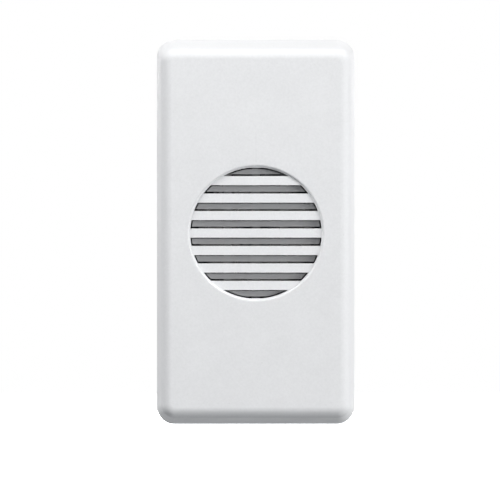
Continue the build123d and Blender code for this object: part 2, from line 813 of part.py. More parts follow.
# Soft iron core, riveted into the yoke's foot
with BuildPart() as magnet_core:
    with BuildSketch(Plane.XY.offset(bobbin_bottom)):
        with Locations((0, coil_y)):
            Circle(core_radius)
    extrude(amount=pole_z - bobbin_bottom)
    chamfer(magnet_core.edges().sort_by(Axis.Z)[-1], pole_stand / 4)
    with BuildSketch(Plane.XY.offset(yoke_bottom)):
        with Locations((0, coil_y)):
            Circle(core_spigot)
    extrude(amount=yoke_thickness)
    with BuildSketch(Plane.XY.offset(yoke_bottom - core_rivet)):
        with Locations((0, coil_y)):
            Circle(core_radius)
    extrude(amount=core_rivet)
    fillet(magnet_core.edges().sort_by(Axis.Z)[0], core_rivet * head_round_share)
magnet_core.part.label = "magnet_core"
export_step(magnet_core.part, "parts/magnet_core.step")


# Bobbin on the core, with a lug at its lower front edge for the two pins
bobbin_radius = core_radius + bobbin_gap
pin_lug_half = pin_place + pin_radius + bobbin_wall

with BuildPart() as coil_bobbin:
    for level in (bobbin_bottom, bobbin_top - flange_thickness):
        with BuildSketch(Plane.XY.offset(level)):
            with Locations((0, coil_y)):
                Circle(flange_radius)
        extrude(amount=flange_thickness)
    with BuildSketch(Plane.XY.offset(bobbin_bottom)):
        with Locations((0, coil_front)):
            Rectangle(2 * pin_lug_half, flange_radius / 2, align=(Align.CENTER, Align.MIN))
    extrude(amount=flange_thickness)
    with BuildSketch(Plane.XY.offset(bobbin_bottom)):
        with Locations((0, coil_y)):
            Circle(winding_inside)
    extrude(amount=bobbin_top - bobbin_bottom)
    with BuildSketch(Plane.XY.offset(bobbin_bottom - cut_over)):
        with Locations((0, coil_y)):
            Circle(bobbin_radius)
    extrude(amount=bobbin_top - bobbin_bottom + 2 * cut_over, mode=Mode.SUBTRACT)
    with BuildSketch(face_plane(coil_front + pin_sunk + thin_gap)):
        with Locations((pin_place, pin_z), (-pin_place, pin_z)):
            Circle(pin_radius + thin_gap)
    extrude(amount=pin_sunk + thin_gap + cut_over, mode=Mode.SUBTRACT)
coil_bobbin.part.label = "coil_bobbin"
export_step(coil_bobbin.part, "parts/coil_bobbin.step")


# Winding between the bobbin's flanges
winding_bottom = bobbin_bottom + flange_thickness + thin_gap
winding_top = bobbin_top - flange_thickness - thin_gap

with BuildPart() as coil_winding:
    with BuildSketch(Plane.XY.offset(winding_bottom)):
        with Locations((0, coil_y)):
            Circle(winding_radius)
            Circle(winding_inside + thin_gap, mode=Mode.SUBTRACT)
    extrude(amount=winding_top - winding_bottom)
coil_winding.part.label = "coil_winding"
export_step(coil_winding.part, "parts/coil_winding.step")


# Tape round the winding
with BuildPart() as coil_tape:
    with BuildSketch(Plane.XY.offset(winding_bottom)):
        with Locations((0, coil_y)):
            Circle(winding_radius + thin_gap + tape_thickness)
            Circle(winding_radius + thin_gap, mode=Mode.SUBTRACT)
    extrude(amount=winding_top - winding_bottom)
coil_tape.part.label = "coil_tape"
export_step(coil_tape.part, "parts/coil_tape.step")


# Two pins that the winding's ends are soldered to
with BuildPart() as coil_pins:
    with BuildSketch(face_plane(coil_front + pin_sunk)):
        with Locations((pin_place, pin_z), (-pin_place, pin_z)):
            Circle(pin_radius)
    extrude(amount=pin_out + pin_sunk)
coil_pins.part.label = "coil_pins"
export_step(coil_pins.part, "parts/coil_pins.step")


# Insulated leads from the pins to the terminals: down from the pin, then back through the bay's wall
lead_top = pin_z - pin_radius - thin_gap
lead_y = pin_front + lead_radius

for name, side in sides.items():
    with BuildPart() as lead_wire:
        with BuildLine(Plane.YZ.offset(side * pin_place)) as lead_route:
            FilletPolyline(
                (lead_y, lead_top),
                (lead_y, cage_z),
                (cage_front - thin_gap, cage_z),
                radius=lead_bend,
            )
        with BuildSketch(Plane(origin=lead_route.line @ 0, z_dir=lead_route.line % 0)):
            Circle(lead_radius)
        sweep(path=lead_route.line)
    lead_wire.part.label = f"lead_wire_{name}"
    export_step(lead_wire.part, f"parts/lead_wire_{name}.step")


# Armature: a plate over the pole with a knuckle for the pivot and a tail for the spring
rivet_places = [
    (0, armature_front + rivet_inset),
    (0, armature_front + rivet_inset + rivet_pitch),
]

with BuildPart() as armature_plate:
    with BuildSketch(Plane.XY.offset(armature_bottom)):
        with Locations((0, armature_front)):
            Rectangle(armature_width, pivot_y - armature_front, align=(Align.CENTER, Align.MIN))
    extrude(amount=armature_thickness)
    front_corners = armature_plate.edges().filter_by(Axis.Z).group_by(Axis.Y)[0]
    fillet(front_corners, armature_corner)
    with BuildSketch(Plane.YZ):
        with Locations((pivot_y, pivot_z)):
            Circle(knuckle_radius)
    extrude(amount=armature_width / 2, both=True)
    with BuildSketch(Plane.XY.offset(armature_bottom)):
        with Locations((0, pivot_y)):
            Rectangle(tail_width, tail_length, align=(Align.CENTER, Align.MIN))
    extrude(amount=armature_thickness)
    with BuildSketch(Plane.YZ.offset(-armature_width / 2 - cut_over)):
        with Locations((pivot_y, pivot_z)):
            Circle(pivot_radius + running_gap)
    extrude(amount=armature_width + 2 * cut_over, mode=Mode.SUBTRACT)
    with BuildSketch(Plane.XY.offset(armature_bottom - cut_over)):
        with Locations(*rivet_places):
            Circle(rivet_radius + pressed_gap)
        with Locations((spring_place, spring_y)):
            Circle(spring_hole)
    extrude(amount=armature_thickness + 2 * cut_over, mode=Mode.SUBTRACT)
armature_plate.part.label = "armature_plate"
export_step(armature_plate.part, "parts/armature_plate.step")


# Arm of the hammer: a flat strip that narrows towards the hammer
arm_front = hammer_y - arm_sunk
arm_back = armature_front + arm_lap

with BuildPart() as hammer_arm:
    with BuildSketch(Plane.XY.offset(armature_top)):
        with BuildLine():
            Polyline(
                (-arm_tip_width / 2, arm_front),
                (arm_tip_width / 2, arm_front),
                (arm_tip_width / 2, plate_back),
                (arm_width / 2, armature_front),
                (arm_width / 2, arm_back),
                (-arm_width / 2, arm_back),
                (-arm_width / 2, armature_front),
                (-arm_tip_width / 2, plate_back),
                close=True,
            )
        make_face()
        with Locations(*rivet_places):
            Circle(rivet_radius + pressed_gap, mode=Mode.SUBTRACT)
    extrude(amount=arm_thickness)
hammer_arm.part.label = "hammer_arm"
export_step(hammer_arm.part, "parts/hammer_arm.step")


# Hammer: a short steel roll across the arm's end, slotted to take it
with BuildPart() as hammer_head:
    with BuildSketch(Plane.YZ):
        with Locations((hammer_y, arm_middle)):
            Circle(hammer_radius)
    extrude(amount=hammer_length / 2, both=True)
    fillet(hammer_head.edges().filter_by(GeomType.CIRCLE), hammer_round)
    with BuildSketch(Plane.XY.offset(armature_top - thin_gap)):
        with Locations((0, arm_front - thin_gap)):
            Rectangle(
                arm_tip_width + 2 * thin_gap,
                arm_sunk + hammer_radius + cut_over,
                align=(Align.CENTER, Align.MIN),
            )
    extrude(amount=arm_thickness + 2 * thin_gap, mode=Mode.SUBTRACT)
hammer_head.part.label = "hammer_head"
export_step(hammer_head.part, "parts/hammer_head.step")


# Two rivets through the arm and the armature
with BuildPart() as armature_rivets:
    with BuildSketch(Plane.XY.offset(arm_top)):
        with Locations(*rivet_places):
            Circle(rivet_head)
    extrude(amount=rivet_head_height)
    fillet(
        armature_rivets.edges().group_by(Axis.Z)[-1],
        rivet_head_height * head_round_share,
    )
    with BuildSketch(Plane.XY.offset(armature_bottom)):
        with Locations(*rivet_places):
            Circle(rivet_radius)
    extrude(amount=armature_thickness + arm_thickness)
armature_rivets.part.label = "armature_rivets"
export_step(armature_rivets.part, "parts/armature_rivets.step")


# Pivot pin through the ears, grooved at both ends
pin_half = ear_outside + pivot_overhang
groove_place = ear_outside + thin_gap + clip_thickness / 2

with BuildPart() as pivot_pin:
    with BuildSketch(Plane.YZ):
        with Locations((pivot_y, pivot_z)):
            Circle(pivot_radius)
    extrude(amount=pin_half, both=True)
    for side in sides.values():
        with BuildSketch(Plane.YZ.offset(side * groove_place)):
            with Locations((pivot_y, pivot_z)):
                Circle(pivot_radius + cut_over)
                Circle(pivot_radius - clip_groove, mode=Mode.SUBTRACT)
        extrude(amount=clip_thickness / 2 + thin_gap, both=True, mode=Mode.SUBTRACT)
pivot_pin.part.label = "pivot_pin"
export_step(pivot_pin.part, "parts/pivot_pin.step")


# Open clips in the pin's grooves
with BuildPart() as pivot_clips:
    for side in sides.values():
        with BuildSketch(Plane.YZ.offset(side * groove_place)):
            with Locations((pivot_y, pivot_z)):
                Circle(clip_radius)
                Circle(pivot_radius - clip_groove + thin_gap, mode=Mode.SUBTRACT)
                Rectangle(
                    clip_mouth,
                    clip_radius + cut_over,
                    align=(Align.CENTER, Align.MIN),
                    mode=Mode.SUBTRACT,
                )
        extrude(amount=clip_thickness / 2, both=True)
pivot_clips.part.label = "pivot_clips"
export_step(pivot_clips.part, "parts/pivot_clips.step")


# Return spring: a close coil that pulls the tail down, with a straight end through each hole and a bent foot
coil_low = spring_bottom + spring_end
coil_height = spring_length - 2 * spring_end
hook_low = spring_bottom - spring_tab_thickness - thin_gap - spring_wire
hook_high = armature_top + thin_gap + spring_wire

with BuildPart() as return_spring:
    with BuildLine():
        spring_line = Helix(
            pitch=coil_height / spring_turns,
            height=coil_height,
            radius=spring_radius,
            center=(0, spring_y, coil_low),
        )
    with BuildSketch(Plane(origin=spring_line @ 0, z_dir=spring_line % 0)):
        Circle(spring_wire)
    sweep(path=spring_line, is_frenet=True)
    with BuildSketch(Plane.XY.offset(hook_low)):
        with Locations((spring_place, spring_y)):
            Circle(spring_wire)
    extrude(amount=coil_low - hook_low)
    with BuildSketch(Plane.XY.offset(coil_low + coil_height)):
        with Locations((spring_place, spring_y)):
            Circle(spring_wire)
    extrude(amount=hook_high - coil_low - coil_height)
    for level in (hook_low, hook_high):
        with BuildSketch(Plane.YZ.offset(spring_place - spring_hook)):
            with Locations((spring_y, level)):
                Circle(spring_wire)
        extrude(amount=spring_hook)
    for level in (hook_low, coil_low, coil_low + coil_height, hook_high):
        with Locations((spring_place, spring_y, level)):
            Sphere(spring_wire)
return_spring.part.label = "return_spring"
export_step(return_spring.part, "parts/return_spring.step")


# Rubber stop that the arm rests against
with BuildPart() as stop_bumper:
    with BuildSketch(Plane.XY.offset(stop_bottom)):
        with Locations((0, stop_y)):
            Circle(stop_radius)
    extrude(amount=stop_height)
    fillet(stop_bumper.edges().sort_by(Axis.Z)[0], stop_height * head_round_share / 2)
    with BuildSketch(Plane.XY.offset(stop_top)):
        with Locations((0, stop_y)):
            Circle(stop_spigot)
    extrude(amount=portal_bar)
stop_bumper.part.label = "stop_bumper"
export_step(stop_bumper.part, "parts/stop_bumper.step")


# Screw through the housing's rear wall into the yoke
yoke_screw_seat = housing_depth - yoke_screw_head_height - yoke_screw_sunk
yoke_screw_rear = housing_depth - yoke_screw_sunk

with BuildPart() as yoke_screw:
    with BuildSketch(face_plane(yoke_screw_rear)):
        with Locations((0, yoke_screw_z)):
            Circle(yoke_screw_head)
    extrude(amount=yoke_screw_head_height)
    fillet(yoke_screw.edges().sort_by(Axis.Y)[-1], yoke_screw_head_height * head_round_share)
    with BuildSketch(face_plane(yoke_screw_seat)):
        with Locations((0, yoke_screw_z)):
            Circle(yoke_screw_shank)
    extrude(amount=yoke_screw_seat - yoke_front)
    slots = cross_slots(face_plane(yoke_screw_rear), yoke_screw_head, [(0, yoke_screw_z)])
    extrude(slots, amount=recess_sink, mode=Mode.SUBTRACT)
yoke_screw.part.label = "yoke_screw"
export_step(yoke_screw.part, "parts/yoke_screw.step")


# Terminals: a brass cage, a clamping plate inside it and the screw that drives the plate forward
clamp_width = cage_width - 2 * cage_wall - 2 * clamp_plate_gap

for name, side in sides.items():
    centre = side * terminal_x

    with BuildPart() as terminal_cage:
        with BuildSketch(face_plane(cage_back)):
            with Locations((centre, cage_z)):
                Rectangle(cage_width, cage_length)
        extrude(amount=cage_depth)
        fillet(terminal_cage.edges().filter_by(Axis.Z), cage_round)
        with BuildSketch(Plane.XY.offset(cage_z - cage_length / 2 - cut_over)):
            with Locations((centre, cage_front + cage_wall)):
                Rectangle(
                    cage_width - 2 * cage_wall,
                    cage_depth - cage_wall - cage_thread_wall,
                    align=(Align.CENTER, Align.MIN),
                )
        extrude(amount=cage_length + 2 * cut_over, mode=Mode.SUBTRACT)
        with BuildSketch(face_plane(cage_back + cut_over)):
            with Locations((centre, cage_z)):
                Circle(terminal_screw_shank + running_gap)
        extrude(amount=cage_thread_wall + 2 * cut_over, mode=Mode.SUBTRACT)
    terminal_cage.part.label = f"terminal_cage_{name}"
    export_step(terminal_cage.part, f"parts/terminal_cage_{name}.step")

    with BuildPart() as clamp_plate:
        with BuildSketch(face_plane(clamp_back)):
            with Locations((centre, cage_z)):
                Rectangle(clamp_width, clamp_plate_length)
        extrude(amount=clamp_plate_thickness)
        chamfer(clamp_plate.faces().sort_by(Axis.Y)[0].edges().filter_by(Axis.X), clamp_bevel)
    clamp_plate.part.label = f"clamp_plate_{name}"
    export_step(clamp_plate.part, f"parts/clamp_plate_{name}.step")

    with BuildPart() as terminal_screw:
        with BuildSketch(face_plane(screw_head_back)):
            with Locations((centre, cage_z)):
                Circle(terminal_screw_head)
        extrude(amount=terminal_screw_head_height)
        fillet(terminal_screw.edges().sort_by(Axis.Y)[-1], terminal_screw_round)
        with BuildSketch(face_plane(screw_head_front)):
            with Locations((centre, cage_z)):
                Circle(terminal_screw_shank)
        extrude(amount=screw_head_front - clamp_back - thin_gap)
        slots = cross_slots(face_plane(screw_head_back), terminal_screw_head, [(centre, cage_z)])
        extrude(slots, amount=recess_sink, mode=Mode.SUBTRACT)
    terminal_screw.part.label = f"terminal_screw_{name}"
    export_step(terminal_screw.part, f"parts/terminal_screw_{name}.step")
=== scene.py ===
import json
import math

import bmesh
import bpy
from mathutils import Matrix, Vector


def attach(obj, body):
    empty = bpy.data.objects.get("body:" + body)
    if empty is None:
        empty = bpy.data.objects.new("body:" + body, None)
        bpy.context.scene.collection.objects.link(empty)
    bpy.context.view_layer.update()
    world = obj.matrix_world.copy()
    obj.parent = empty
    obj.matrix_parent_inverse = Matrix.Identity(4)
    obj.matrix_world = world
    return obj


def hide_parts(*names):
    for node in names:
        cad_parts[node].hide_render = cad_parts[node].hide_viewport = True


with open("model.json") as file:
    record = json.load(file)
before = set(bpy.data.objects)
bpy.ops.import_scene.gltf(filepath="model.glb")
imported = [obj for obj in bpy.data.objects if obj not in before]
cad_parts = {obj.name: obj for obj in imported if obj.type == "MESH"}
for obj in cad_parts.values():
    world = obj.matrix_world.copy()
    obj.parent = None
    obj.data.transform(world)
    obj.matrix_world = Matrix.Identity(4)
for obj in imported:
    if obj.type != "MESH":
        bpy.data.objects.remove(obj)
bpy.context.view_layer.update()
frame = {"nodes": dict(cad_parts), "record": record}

# Flush-mounting bell insert. The face looks along -Y, Z is up and the origin is in the seat plane.
nodes = frame["nodes"]
record = frame["record"]
bodyOf = {name: body for body, names in record["behaviour"]["bodies"].items() for name in names}
slotOf = {part["node"]: part["material_slot"] for part in record["subparts"]}
scene = bpy.context.scene
mm = 0.001
quarterTurn = math.pi / 2
origin = (0.0, 0.0, 0.0)
print("frame loaded:", len(nodes), "nodes")


# Helpers for node trees, used by the materials and by the Geometry Nodes trees alike

def plugIn(tree, node, inputs):
    for key, value in inputs.items():
        if isinstance(value, bpy.types.NodeSocket):
            tree.links.new(value, node.inputs[key])
        else:
            node.inputs[key].default_value = value
    return node


def addNode(tree, kind, inputs=None, **settings):
    node = tree.nodes.new(kind)
    for key, value in settings.items():
        setattr(node, key, value)
    return plugIn(tree, node, inputs or {})


def addInputs(tree, inputs):
    kinds = {int: "NodeSocketInt", float: "NodeSocketFloat", tuple: "NodeSocketVector"}
    for label, value in inputs.items():
        socket = tree.interface.new_socket(name=label, in_out="INPUT", socket_type=kinds[type(value)])
        socket.default_value = value


def calc(tree, operation, *values):
    return addNode(tree, "ShaderNodeMath", dict(enumerate(values)), operation=operation).outputs[0]


def remap(tree, value, low, high, toLow=0.0, toHigh=1.0):
    limits = {"Value": value, "From Min": low, "From Max": high, "To Min": toLow, "To Max": toHigh}
    return addNode(tree, "ShaderNodeMapRange", limits, interpolation_type="SMOOTHSTEP").outputs["Result"]


def fade(tree, value, low, high):       # 1 up to low, 0 from high on
    return remap(tree, value, low, high, 1.0, 0.0)


def swing(tree, value, amount):     # a value between 0 and 1 is moved to both sides of zero
    return calc(tree, "MULTIPLY", calc(tree, "SUBTRACT", value, 0.5), amount)


def offset(tree, axis, length):
    return addNode(tree, "ShaderNodeCombineXYZ", {axis: length}).outputs[0]


def separate(tree, place):
    return addNode(tree, "ShaderNodeSeparateXYZ", {0: place}).outputs


def fromMiddle(tree, part):     # distance from the Y axis, on which grille and gong are centred
    square = calc(tree, "MULTIPLY_ADD", part["X"], part["X"], calc(tree, "MULTIPLY", part["Z"], part["Z"]))
    return calc(tree, "SQRT", square)


def scaled(tree, vector, by):
    return addNode(tree, "ShaderNodeVectorMath", {0: vector, 1: by}, operation="MULTIPLY").outputs[0]


def noise(tree, place, size, detail=2.0, roughness=0.5):
    scale = calc(tree, "DIVIDE", 1.0, size)
    settings = {"Vector": place, "Scale": scale, "Detail": detail, "Roughness": roughness}
    return addNode(tree, "ShaderNodeTexNoise", settings).outputs["Fac"]


# Helpers for materials

def colour(tone):
    return (*tone, 1.0)


def toned(tone, factor, added=0.0):
    return colour([min(1.0, value * factor + added) for value in tone])


def blendColours(tree, share, first, second):
    return addNode(tree, "ShaderNodeMix", {0: share, 6: first, 7: second}, data_type="RGBA").outputs[2]


def placeGroup(tree, group, inputs):
    return addNode(tree, "ShaderNodeGroup", inputs, node_tree=group).outputs


def startGroup(name, inputs, outputs):
    group = bpy.data.node_groups.new(name, "ShaderNodeTree")
    addInputs(group, {"Place": origin, **inputs})
    for label in outputs:
        group.interface.new_socket(name=label, in_out="OUTPUT", socket_type="NodeSocketFloat")
    return group, group.nodes.new("NodeGroupInput").outputs, group.nodes.new("NodeGroupOutput")


# The look's tone and roughness go in as plain values, which links may replace afterwards
def startMaterial(name, look, **sockets):
    material = bpy.data.materials.new(name)
    material.use_nodes = True
    tree = material.node_tree
    shader = tree.nodes["Principled BSDF"]
    plugIn(tree, shader, {"Base Color": colour(look["tone"]), "Roughness": look["roughness"], **sockets})
    place = addNode(tree, "ShaderNodeTexCoord").outputs["Object"]
    return material, tree, shader, place


def addRelief(tree, shader, height, depth):
    bump = addNode(tree, "ShaderNodeBump", {"Height": height, "Distance": depth})
    tree.links.new(bump.outputs["Normal"], shader.inputs["Normal"])


# Effects that several finishes share. Sizes are in metres, and a shade multiplies a colour.

grainHeights = {"low": 1.0, "high": 2.6}        # the range of the grain's height that changes the gloss


def makeMouldGrain():
    group, given, ending = startGroup("mouldGrain", {
        "Size": 0.25 * mm, "Unevenness": 0.02, "Fine Shade": 3.0,
        "Wide Grains": 14.0, "Wide Height": 2.5, "Wide Shade": 1.2,
    }, ["Height", "Shade"])
    fine = noise(group, given["Place"], given["Size"], detail=3.0, roughness=0.6)
    wide = noise(group, given["Place"], calc(group, "MULTIPLY", given["Size"], given["Wide Grains"]))
    height = calc(group, "MULTIPLY_ADD", wide, given["Wide Height"], fine)
    wideSwing = swing(group, wide, given["Unevenness"])
    fineSwing = swing(group, fine, given["Unevenness"])
    wideShade = calc(group, "MULTIPLY_ADD", wideSwing, given["Wide Shade"], 1.0)
    shade = calc(group, "MULTIPLY_ADD", fineSwing, given["Fine Shade"], wideShade)
    plugIn(group, ending, {"Height": height, "Shade": shade})
    return group


def makeSpecks():
    group, given, ending = startGroup("specks", {
        "Spacing": 2.0 * mm, "Size": 0.12 * mm, "Share": 0.4, "Solid Share": 0.4,
    }, ["Mask"])
    scale = calc(group, "DIVIDE", 1.0, given["Spacing"])
    cells = addNode(group, "ShaderNodeTexVoronoi", {"Vector": given["Place"], "Scale": scale}).outputs
    reach = calc(group, "MULTIPLY", cells["Distance"], given["Spacing"])
    near = fade(group, reach, calc(group, "MULTIPLY", given["Size"], given["Solid Share"]), given["Size"])
    pick = addNode(group, "ShaderNodeSeparateColor", {0: cells["Color"]}).outputs[0]
    chosen = calc(group, "LESS_THAN", pick, given["Share"])
    plugIn(group, ending, {"Mask": calc(group, "MULTIPLY", near, chosen)})
    return group


def makeEdgeWear():
    group, given, ending = startGroup("edgeWear", {
        "Reach": 0.2 * mm, "Patch Size": 0.8 * mm, "Amount": 0.5,
    }, ["Mask"])
    soft = addNode(group, "ShaderNodeBevel", {"Radius": given["Reach"]}, samples=4).outputs[0]
    flat = addNode(group, "ShaderNodeNewGeometry").outputs["Normal"]
    turn = addNode(group, "ShaderNodeVectorMath", {0: soft, 1: flat}, operation="DOT_PRODUCT")
    edge = fade(group, turn.outputs["Value"], low=0.80, high=0.99)
    patches = noise(group, given["Place"], given["Patch Size"], detail=4.0, roughness=0.7)
    patch = remap(group, patches, low=0.35, high=0.65)
    mask = calc(group, "MULTIPLY", calc(group, "MULTIPLY", edge, patch), given["Amount"])
    plugIn(group, ending, {"Mask": mask})
    return group


def makeDrawnLines():
    group, given, ending = startGroup("drawnLines", {
        "Stretch": (1, 20, 20), "Size": 1.5 * mm, "Unevenness": 0.1,
    }, ["Height", "Shade"])
    stretched = scaled(group, given["Place"], given["Stretch"])
    lines = noise(group, stretched, given["Size"], detail=5.0, roughness=0.65)
    shade = calc(group, "ADD", swing(group, lines, given["Unevenness"]), 1.0)
    plugIn(group, ending, {"Height": lines, "Shade": shade})
    return group


# Two sets of thin scratches that cross
def makeFineScratches():
    group, given, ending = startGroup("fineScratches", {
        "Stretch": (1, 45, 45), "Length": 3.0 * mm, "Amount": 0.5,
    }, ["Mask"])
    directions = ((0.3, 0.5, 0.2), (-0.7, -0.4, 1.1))       # radians
    sets = []
    for turn in directions:
        turned = addNode(group, "ShaderNodeMapping", {"Vector": given["Place"], "Rotation": turn}).outputs[0]
        streaks = noise(group, scaled(group, turned, given["Stretch"]), given["Length"], detail=1.0)
        sets.append(remap(group, streaks, low=0.72, high=0.78))
    plugIn(group, ending, {"Mask": calc(group, "MULTIPLY", calc(group, "MAXIMUM", *sets), given["Amount"])})
    return group


# Round mark where a mould was filled: a shallow dish with a torn stub, in shares of its radius
def makeGateMark():
    group, given, ending = startGroup("gateMark", {
        "Middle": origin, "Radius": 1.0 * mm, "Ring Shade": -0.22,
    }, ["Height", "Shade"])
    ends = {0: given["Place"], 1: given["Middle"]}
    away = addNode(group, "ShaderNodeVectorMath", ends, operation="DISTANCE").outputs["Value"]
    share = calc(group, "DIVIDE", away, given["Radius"])
    outside = remap(group, share, low=0.82, high=1.0)
    stub = remap(group, share, low=0.14, high=0.26, toLow=0.8, toHigh=0.0)
    ringInside = remap(group, share, low=0.8, high=0.9)
    ringOutside = fade(group, share, low=0.9, high=1.0)
    ring = calc(group, "MULTIPLY", ringInside, ringOutside)
    plugIn(group, ending, {
        "Height": calc(group, "ADD", outside, stub),
        "Shade": calc(group, "MULTIPLY_ADD", ring, given["Ring Shade"], 1.0),
    })
    return group


# Rings about the gong's axis, which is the Y axis of the frame
def makeTurnedRings():
    group, given, ending = startGroup("turnedRings", {
        "Size": 0.12 * mm, "Unevenness": 0.1,
    }, ["Height", "Shade"])
    part = separate(group, given["Place"])
    spot = addNode(group, "ShaderNodeCombineXYZ", {0: fromMiddle(group, part), 1: part["Y"]})
    rings = noise(group, spot.outputs[0], given["Size"], detail=3.0, roughness=0.6)
    shade = calc(group, "ADD", swing(group, rings, given["Unevenness"]), 1.0)
    plugIn(group, ending, {"Height": rings, "Shade": shade})
    return group


mouldGrain = makeMouldGrain()
specks = makeSpecks()
edgeWear = makeEdgeWear()
drawnLines = makeDrawnLines()
fineScratches = makeFineScratches()
gateMark = makeGateMark()
turnedRings = makeTurnedRings()
print("effects made")


# Cover: white satin plastic with a fine mould texture, a little dust, a faint weld line over the grille, and
# painted light that makes the grille's floor lighter

coverLook = {
    "tone": (0.830, 0.834, 0.842),
    "roughness": 0.46,
    "smoother": 0.05,               # how far the grain takes the roughness down, and the next one up
    "rougher": 0.08,
    "gloss": 0.25,
    "grain": 0.24 * mm,
    "depth": 0.0060 * mm,           # of the relief
    "unevenness": 0.045,
    "recessFront": -8.44 * mm,      # what lies behind this, inside the radius, is the grille's floor
    "recessRadius": 7.5 * mm,
    "recessPaintedLight": 0.05,            # painted light: the floor's colour is made lighter; the floor is also polished, so it is smoother
    "recessSmoother": -0.10,
    "dustSpacing": 3.2 * mm,
    "dustSize": 0.13 * mm,
    "dustShare": 0.25,
    "dustStrength": 0.20,
    "dirt": (0.45, 0.45, 0.44),
    "weldSides": (0.018 * mm, 0.09 * mm),
    "weldStart": (7.2 * mm, 8.2 * mm),
    "weldEnd": (10.5 * mm, 13.0 * mm),
    "weldShade": -0.03,
}


# Roughness that follows the grain's height, a little to both sides of the look's own
def grainGloss(tree, height, look):
    smooth = look["roughness"] - look["smoother"]
    rough = look["roughness"] + look["rougher"]
    return remap(tree, height, grainHeights["low"], grainHeights["high"], smooth, rough)


def makeCoverFinish(look):
    gloss = {"Specular IOR Level": look["gloss"]}
    material, tree, shader, place = startMaterial("coverFinish", look, **gloss)
    texture = placeGroup(tree, mouldGrain, {
        "Place": place, "Size": look["grain"], "Unevenness": look["unevenness"],
    })
    dust = placeGroup(tree, specks, {
        "Place": place, "Spacing": look["dustSpacing"], "Size": look["dustSize"], "Share": look["dustShare"],
    })
    part = separate(tree, place)
    beside = fade(tree, calc(tree, "ABSOLUTE", part["X"]), *look["weldSides"])
    above = remap(tree, part["Z"], *look["weldStart"])
    below = fade(tree, part["Z"], *look["weldEnd"])
    weld = calc(tree, "MULTIPLY", beside, calc(tree, "MULTIPLY", above, below))
    lineShade = calc(tree, "MULTIPLY_ADD", weld, look["weldShade"], 1.0)
    inside = calc(tree, "LESS_THAN", fromMiddle(tree, part), look["recessRadius"])
    behind = calc(tree, "GREATER_THAN", part["Y"], look["recessFront"])
    floorMask = calc(tree, "MULTIPLY", inside, behind)
    # Painted light: inside the grille's floor the colour is made lighter. The weld line's own darkening is
    # added on top.
    floorPaintedLightAndWeld = calc(tree, "MULTIPLY_ADD", floorMask, look["recessPaintedLight"], lineShade)
    clean = scaled(tree, look["tone"], calc(tree, "MULTIPLY", texture["Shade"], floorPaintedLightAndWeld))
    dirtMask = calc(tree, "MULTIPLY", dust["Mask"], look["dustStrength"])
    rough = grainGloss(tree, texture["Height"], look)
    plugIn(tree, shader, {
        "Base Color": blendColours(tree, dirtMask, clean, colour(look["dirt"])),
        "Roughness": calc(tree, "MULTIPLY_ADD", floorMask, look["recessSmoother"], rough),
    })
    addRelief(tree, shader, texture["Height"], look["depth"])
    return material


# The other plastics: the same texture, dust in places, scratches, and edges rubbed a little lighter

plasticWear = {
    "smoother": 0.06, "rougher": 0.10, "speckSpacing": 2.4 * mm, "speckSize": 0.10 * mm, "speckShare": 0.35,
    "edgeReach": 0.15 * mm, "gateHeight": 25.0, "rubbedTone": (1.35, 0.05), "dustyTone": (0.5, 0.28),
}
louvreLook = {
    "tone": (0.350, 0.350, 0.356), "roughness": 0.60, "grain": 0.20 * mm, "depth": 0.002 * mm,
    "unevenness": 0.03, "wear": 0.0, "dust": 0.03, "scratches": 0.0,
}
housingLook = {
    "tone": (0.42, 0.43, 0.44), "roughness": 0.50, "grain": 0.30 * mm, "depth": 0.004 * mm,
    "unevenness": 0.06, "wear": 0.30, "dust": 0.14, "scratches": 0.35,
    "gate": (0, 29.0 * mm, 9.0 * mm), "gateRadius": 1.3 * mm,
}
capLook = {
    "tone": (0.16, 0.16, 0.17), "roughness": 0.45, "grain": 0.22 * mm, "depth": 0.003 * mm,
    "unevenness": 0.08, "wear": 0.28, "dust": 0.12, "scratches": 0.40,
    "gate": (0, 30.6 * mm, -15.7 * mm), "gateRadius": 0.7 * mm,
}
plateLook = {
    "tone": (0.050, 0.050, 0.055), "roughness": 0.42, "grain": 0.22 * mm, "depth": 0.003 * mm,
    "unevenness": 0.08, "wear": 0.25, "dust": 0.12, "scratches": 0.30,
}
bobbinLook = {
    "tone": (0.62, 0.57, 0.45), "roughness": 0.38, "grain": 0.22 * mm, "depth": 0.003 * mm,
    "unevenness": 0.05, "wear": 0.10, "dust": 0.0, "scratches": 0.0,
}


def makePlastic(name, ownLook):
    look = {**plasticWear, **ownLook}
    material, tree, shader, place = startMaterial(name, look)
    texture = placeGroup(tree, mouldGrain, {
        "Place": place, "Size": look["grain"], "Unevenness": look["unevenness"],
    })
    spots = placeGroup(tree, specks, {
        "Place": place, "Spacing": look["speckSpacing"], "Size": look["speckSize"],
        "Share": look["speckShare"],
    })
    rubbed = placeGroup(tree, edgeWear, {"Place": place, "Reach": look["edgeReach"], "Amount": look["wear"]})
    scratches = placeGroup(tree, fineScratches, {"Place": place, "Amount": look["scratches"]})
    height, shade = texture["Height"], texture["Shade"]
    if "gate" in look:
        mark = placeGroup(tree, gateMark, {
            "Place": place, "Middle": look["gate"], "Radius": look["gateRadius"],
        })
        height = calc(tree, "MULTIPLY_ADD", mark["Height"], look["gateHeight"], height)
        shade = calc(tree, "MULTIPLY", shade, mark["Shade"])
    base = scaled(tree, look["tone"], shade)
    lightMask = calc(tree, "MAXIMUM", rubbed["Mask"], scratches["Mask"])
    worn = blendColours(tree, lightMask, base, toned(look["tone"], *look["rubbedTone"]))
    dustMask = calc(tree, "MULTIPLY", spots["Mask"], look["dust"])
    plugIn(tree, shader, {
        "Base Color": blendColours(tree, dustMask, worn, toned(look["tone"], *look["dustyTone"])),
        "Roughness": grainGloss(tree, texture["Height"], look),
    })
    addRelief(tree, shader, height, look["depth"])
    return material


# Metals: drawn or rolled lines, clouds of tarnish and brighter edges

